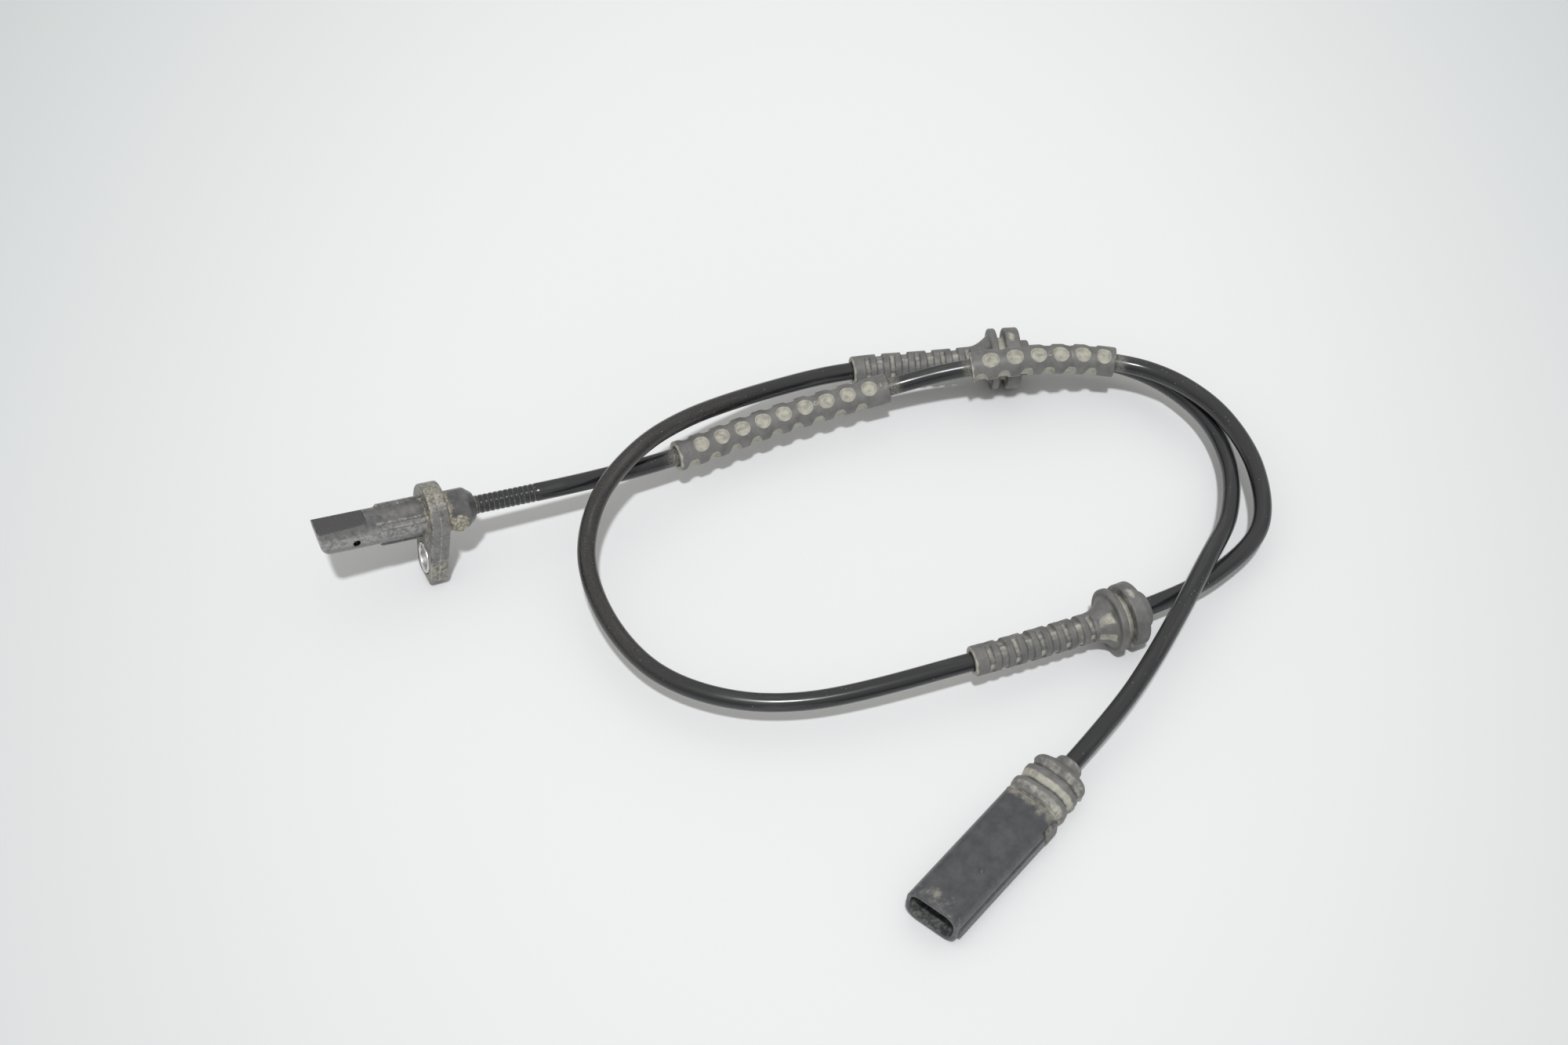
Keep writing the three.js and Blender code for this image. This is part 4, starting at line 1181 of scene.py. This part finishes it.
def head_dirt(local):
    """Dirt, rubbed places, painted sheen on the nose, clean places and the painted shade of the hole,
    in the head's own millimetres
    """
    x, y, z = local.T
    radius = np.hypot(y, z)
    angle = np.arctan2(z, -y)
    behind_tip, rise = from_tip(local)
    on_nose = (x < -0.2) * (radius < 6.2)
    on_rim = (x > 0.2) * (x < 5.0) * (radius > 6.9)
    joint = bell(x, -0.1, 0.7) * (radius < 6.6) * (x < 0.4)
    top_rim = on_rim * soft_step(0.6, 1.0, np.sin(angle))
    low_rim = on_rim * bell(z, -13.5, 3.8)
    parting = on_rim * bell(x, 2.6, 0.14)
    front_face = (x > -0.2) * (x < 0.4) * (radius > 5.6)
    behind = bell(x, 5.6, 1.3) * (x > 5.0) * (radius < 7)
    boss = np.exp(-((np.hypot(x - 8.8, z) / 2.7) ** 6)) * (y < -3.5)
    ribs = np.zeros_like(x)
    beside = np.zeros_like(x)
    along_rib = (x < 0.4) * (x > -14.2)
    for turn in RIB_TURNS:
        away = radius * angle_from(angle, turn)
        ribs += np.exp(-(away / 0.5) ** 4) * along_rib * (radius > 5.3)
        beside += bell(away, 1.15, 0.35) * along_rib * (radius < 5.3)
    dirt = 0.42 * joint + 0.44 * top_rim + 0.46 * low_rim + 0.25 * parting + 0.3 * front_face
    dirt += 0.8 * behind + 0.95 * boss + 0.4 * beside
    # painted sheen: pale bands along the nose's lower front and along its top, where the key light
    # catches it
    low_front_sheen = bell(angle_from(angle, 12), 0, 0.42)
    upper = bell(angle_from(angle, 78), 0, 0.3) * (x > -16)
    wear = 0.7 * ribs + 0.4 * on_rim + 0.9 * parting + on_nose * (1.2 * low_front_sheen + 0.3 * upper)
    flat_floor = 4.2 - 0.45 * ((x - TIP - FLAT_LENGTH) / -FLAT_LENGTH).clip(0, 1)
    on_flat = on_nose * (x < TIP + FLAT_LENGTH + 0.1) * (np.abs(rise - flat_floor) < 0.16)
    tip_face = on_nose * (behind_tip < 0.12)
    bare = on_flat + tip_face + soft_step(11.7, 12.4, x)
    # painted shade: the hole in the side is painted near black
    hole_shade = (np.hypot(x + 19.5, z) < 1.05) * (y < -3.2) * (y > -4.8)
    return {
        "dirt": dirt.clip(0, 1),
        "wear": wear.clip(0, 1),
        "bare": bare.clip(0, 1),
        "deep": hole_shade.astype(float),
    }


BUSH_RADIUS = 4.3
BUSH_BORE = 3.35
BUSH_FRONT = -0.2
BUSH_REAR = 5.4
BUSH_REACH = 14.1
BUSH_SIDES = 96
HALF_SLIT = 0.075
EAR_DOWN = math.radians(-11)


def bolt_bush():
    """The rolled steel bush: rounded rims, and a slit where the strip's ends meet"""
    outline = finer([
        (BUSH_FRONT, BUSH_BORE),
        (BUSH_FRONT, BUSH_RADIUS),
        (BUSH_REAR, BUSH_RADIUS),
        (BUSH_REAR, BUSH_BORE),
    ], 0.4, 0.35)
    sides = BUSH_SIDES
    x, radius, _ = turned_rings(outline, sides)
    turn = np.linspace(math.pi / 2 + HALF_SLIT, math.pi * 2.5 - HALF_SLIT, sides)
    rings = placed(x, radius, np.broadcast_to(turn, x.shape))
    rows = len(outline)
    points = rings.reshape(-1, 3)
    faces = []
    for row in range(rows):
        here, there = row * sides, ((row + 1) % rows) * sides
        for side in range(sides - 1):
            faces.append((here + side, there + side, there + side + 1, here + side + 1))
    for side in (0, sides - 1):
        middle = len(points)
        points = np.vstack([points, rings[:, side].mean(0)])
        for row in range(rows):
            edge = (row * sides + side, ((row + 1) % rows) * sides + side)
            faces.append((middle, *edge) if side else (middle, *reversed(edge)))
    piece = mesh_object("bolt_bush_detail", points, faces)
    in_ear = Matrix.Translation(Vector((0, 0, -BUSH_REACH)) * MM)
    piece.data.transform(HEAD_PLACE @ Matrix.Rotation(EAR_DOWN, 4, "X") @ in_ear)
    piece.data.materials.append(zinc_steel)
    return piece


housing_piece = sensor_housing()
bush_piece = bolt_bush()
bpy.data.objects.remove(route)

# What each piece stands for

REPLACED = {
    "cable_jacket": (cable_piece, "cable_rubber"),
    "dimpled_sleeve_long": (long_sleeve, "sleeve_rubber"),
    "dimpled_sleeve_short": (short_sleeve, "sleeve_rubber"),
    "ribbed_grommet_outer": (outer_grommet, "sleeve_rubber"),
    "ribbed_grommet_inner": (inner_grommet, "sleeve_rubber"),
    "connector_boot": (boot_piece, "sleeve_rubber"),
    "connector_shell": (shell_piece, "shell_plastic"),
    "sensor_housing": (housing_piece, "head_plastic"),
    "bolt_bush": (bush_piece, "bush_steel"),
}
for node_name, (piece, slot_name) in REPLACED.items():
    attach(piece, "root")
    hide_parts(node_name)

KEPT_FINISHES = {
    "insert_carrier": black_polyamide,
    "sensing_chip": black_epoxy,
    "bias_magnet": nickel_coat,
    "filter_capacitor": tan_ceramic,
    "lead_strip_a": copper_alloy,
    "lead_strip_b": copper_alloy,
    "core_crimp_a": copper_alloy,
    "core_crimp_b": copper_alloy,
    "head_core_a": black_core,
    "head_core_b": grey_core,
    "pin_holder": black_polyamide,
    "contact_pin_a": tinned_brass,
    "contact_pin_b": tinned_brass,
    "plug_core_a": black_core,
    "plug_core_b": grey_core,
}
for node_name, finish in KEPT_FINISHES.items():
    node = nodes[node_name]
    if not node.material_slots:
        node.data.materials.append(finish)
    for material_slot in node.material_slots:
        material_slot.material = finish

# Floor and light

FLOOR_HALF = 3.0
POOL_MIDDLE = (-0.11, -0.04, 0.0)
POOL_TURN = math.radians(22.5)
POOL_SQUEEZE = (1.0, 0.6, 0.0)
POOL_EDGE = (0.08, 0.4)
KEY_ELEVATION = math.radians(67)
KEY_STRENGTH = 1.72
KEY_COLOUR = (0.985, 0.99, 1.0)
KEY_SPREAD = math.radians(4)
AMBIENT_LEVEL = 0.24
AMBIENT_OVERHEAD = 0.61
MIRRORED_LEVEL = 0.45
MIRRORED_OVERHEAD = 1.1


def table_top():
    # White laminate, pressed: a pale satin, with a painted pool of light: its colour darkens towards
    # the edges of the pool
    material, tree, place = start_finish("white_laminate_pressed")
    turned = add(tree, "ShaderNodeMapping", {
        "Vector": place, "Location": POOL_MIDDLE, "Rotation": (0.0, 0.0, POOL_TURN),
    })
    distance = length_of(tree, vector(tree, "MULTIPLY", turned, POOL_SQUEEZE))
    share = ramp(tree, distance, *POOL_EDGE, smooth=True)
    end_finish(material, {"Base Color": blend(tree, share, "#F5F6F8", "#C4CBCC"), "Roughness": 0.5})
    corners = [(x * FLOOR_HALF, y * FLOOR_HALF, 0) for x, y in ((-1, -1), (1, -1), (1, 1), (-1, 1))]
    data = bpy.data.meshes.new("table_top")
    data.from_pydata(corners, [], [(0, 1, 2, 3)])
    data.materials.append(material)
    floor = bpy.data.objects.new("table_top", data)
    scene.collection.objects.link(floor)


def set_up_light():
    """A broad key light from behind the camera, and a pale room that mirrors brighter than it lights"""
    data = bpy.data.lights.new("key", "SUN")
    data.energy = KEY_STRENGTH
    data.color = KEY_COLOUR
    data.angle = KEY_SPREAD
    key = bpy.data.objects.new("key", data)
    ray = LOOK_AHEAD * math.cos(KEY_ELEVATION) - UP * math.sin(KEY_ELEVATION)
    key.rotation_euler = ray.to_track_quat("-Z", "Y").to_euler()
    key.location = -ray
    scene.collection.objects.link(key)
    world = bpy.data.worlds.new("pale_room")
    world.use_nodes = True
    tree = world.node_tree
    tree.nodes.clear()
    heading = add(tree, "ShaderNodeTexCoord").outputs["Generated"]
    height = add(tree, "ShaderNodeSeparateXYZ", {"Vector": heading}).outputs["Z"]
    soft = ramp(tree, height, 0.0, 1.0, AMBIENT_LEVEL, AMBIENT_OVERHEAD)
    mirrored = ramp(tree, height, 0.0, 0.8, MIRRORED_LEVEL, MIRRORED_OVERHEAD)
    strength = add(tree, "ShaderNodeMix", {
        "Factor_Float": add(tree, "ShaderNodeLightPath").outputs["Is Glossy Ray"],
        "A_Float": soft,
        "B_Float": mirrored,
    }, data_type="FLOAT")
    sky = add(tree, "ShaderNodeBackground", {"Color": linear("#F7F6F1"), "Strength": strength})
    add(tree, "ShaderNodeOutputWorld", {"Surface": sky})
    scene.world = world


table_top()
set_up_light()
scene.view_settings.view_transform = "Standard"
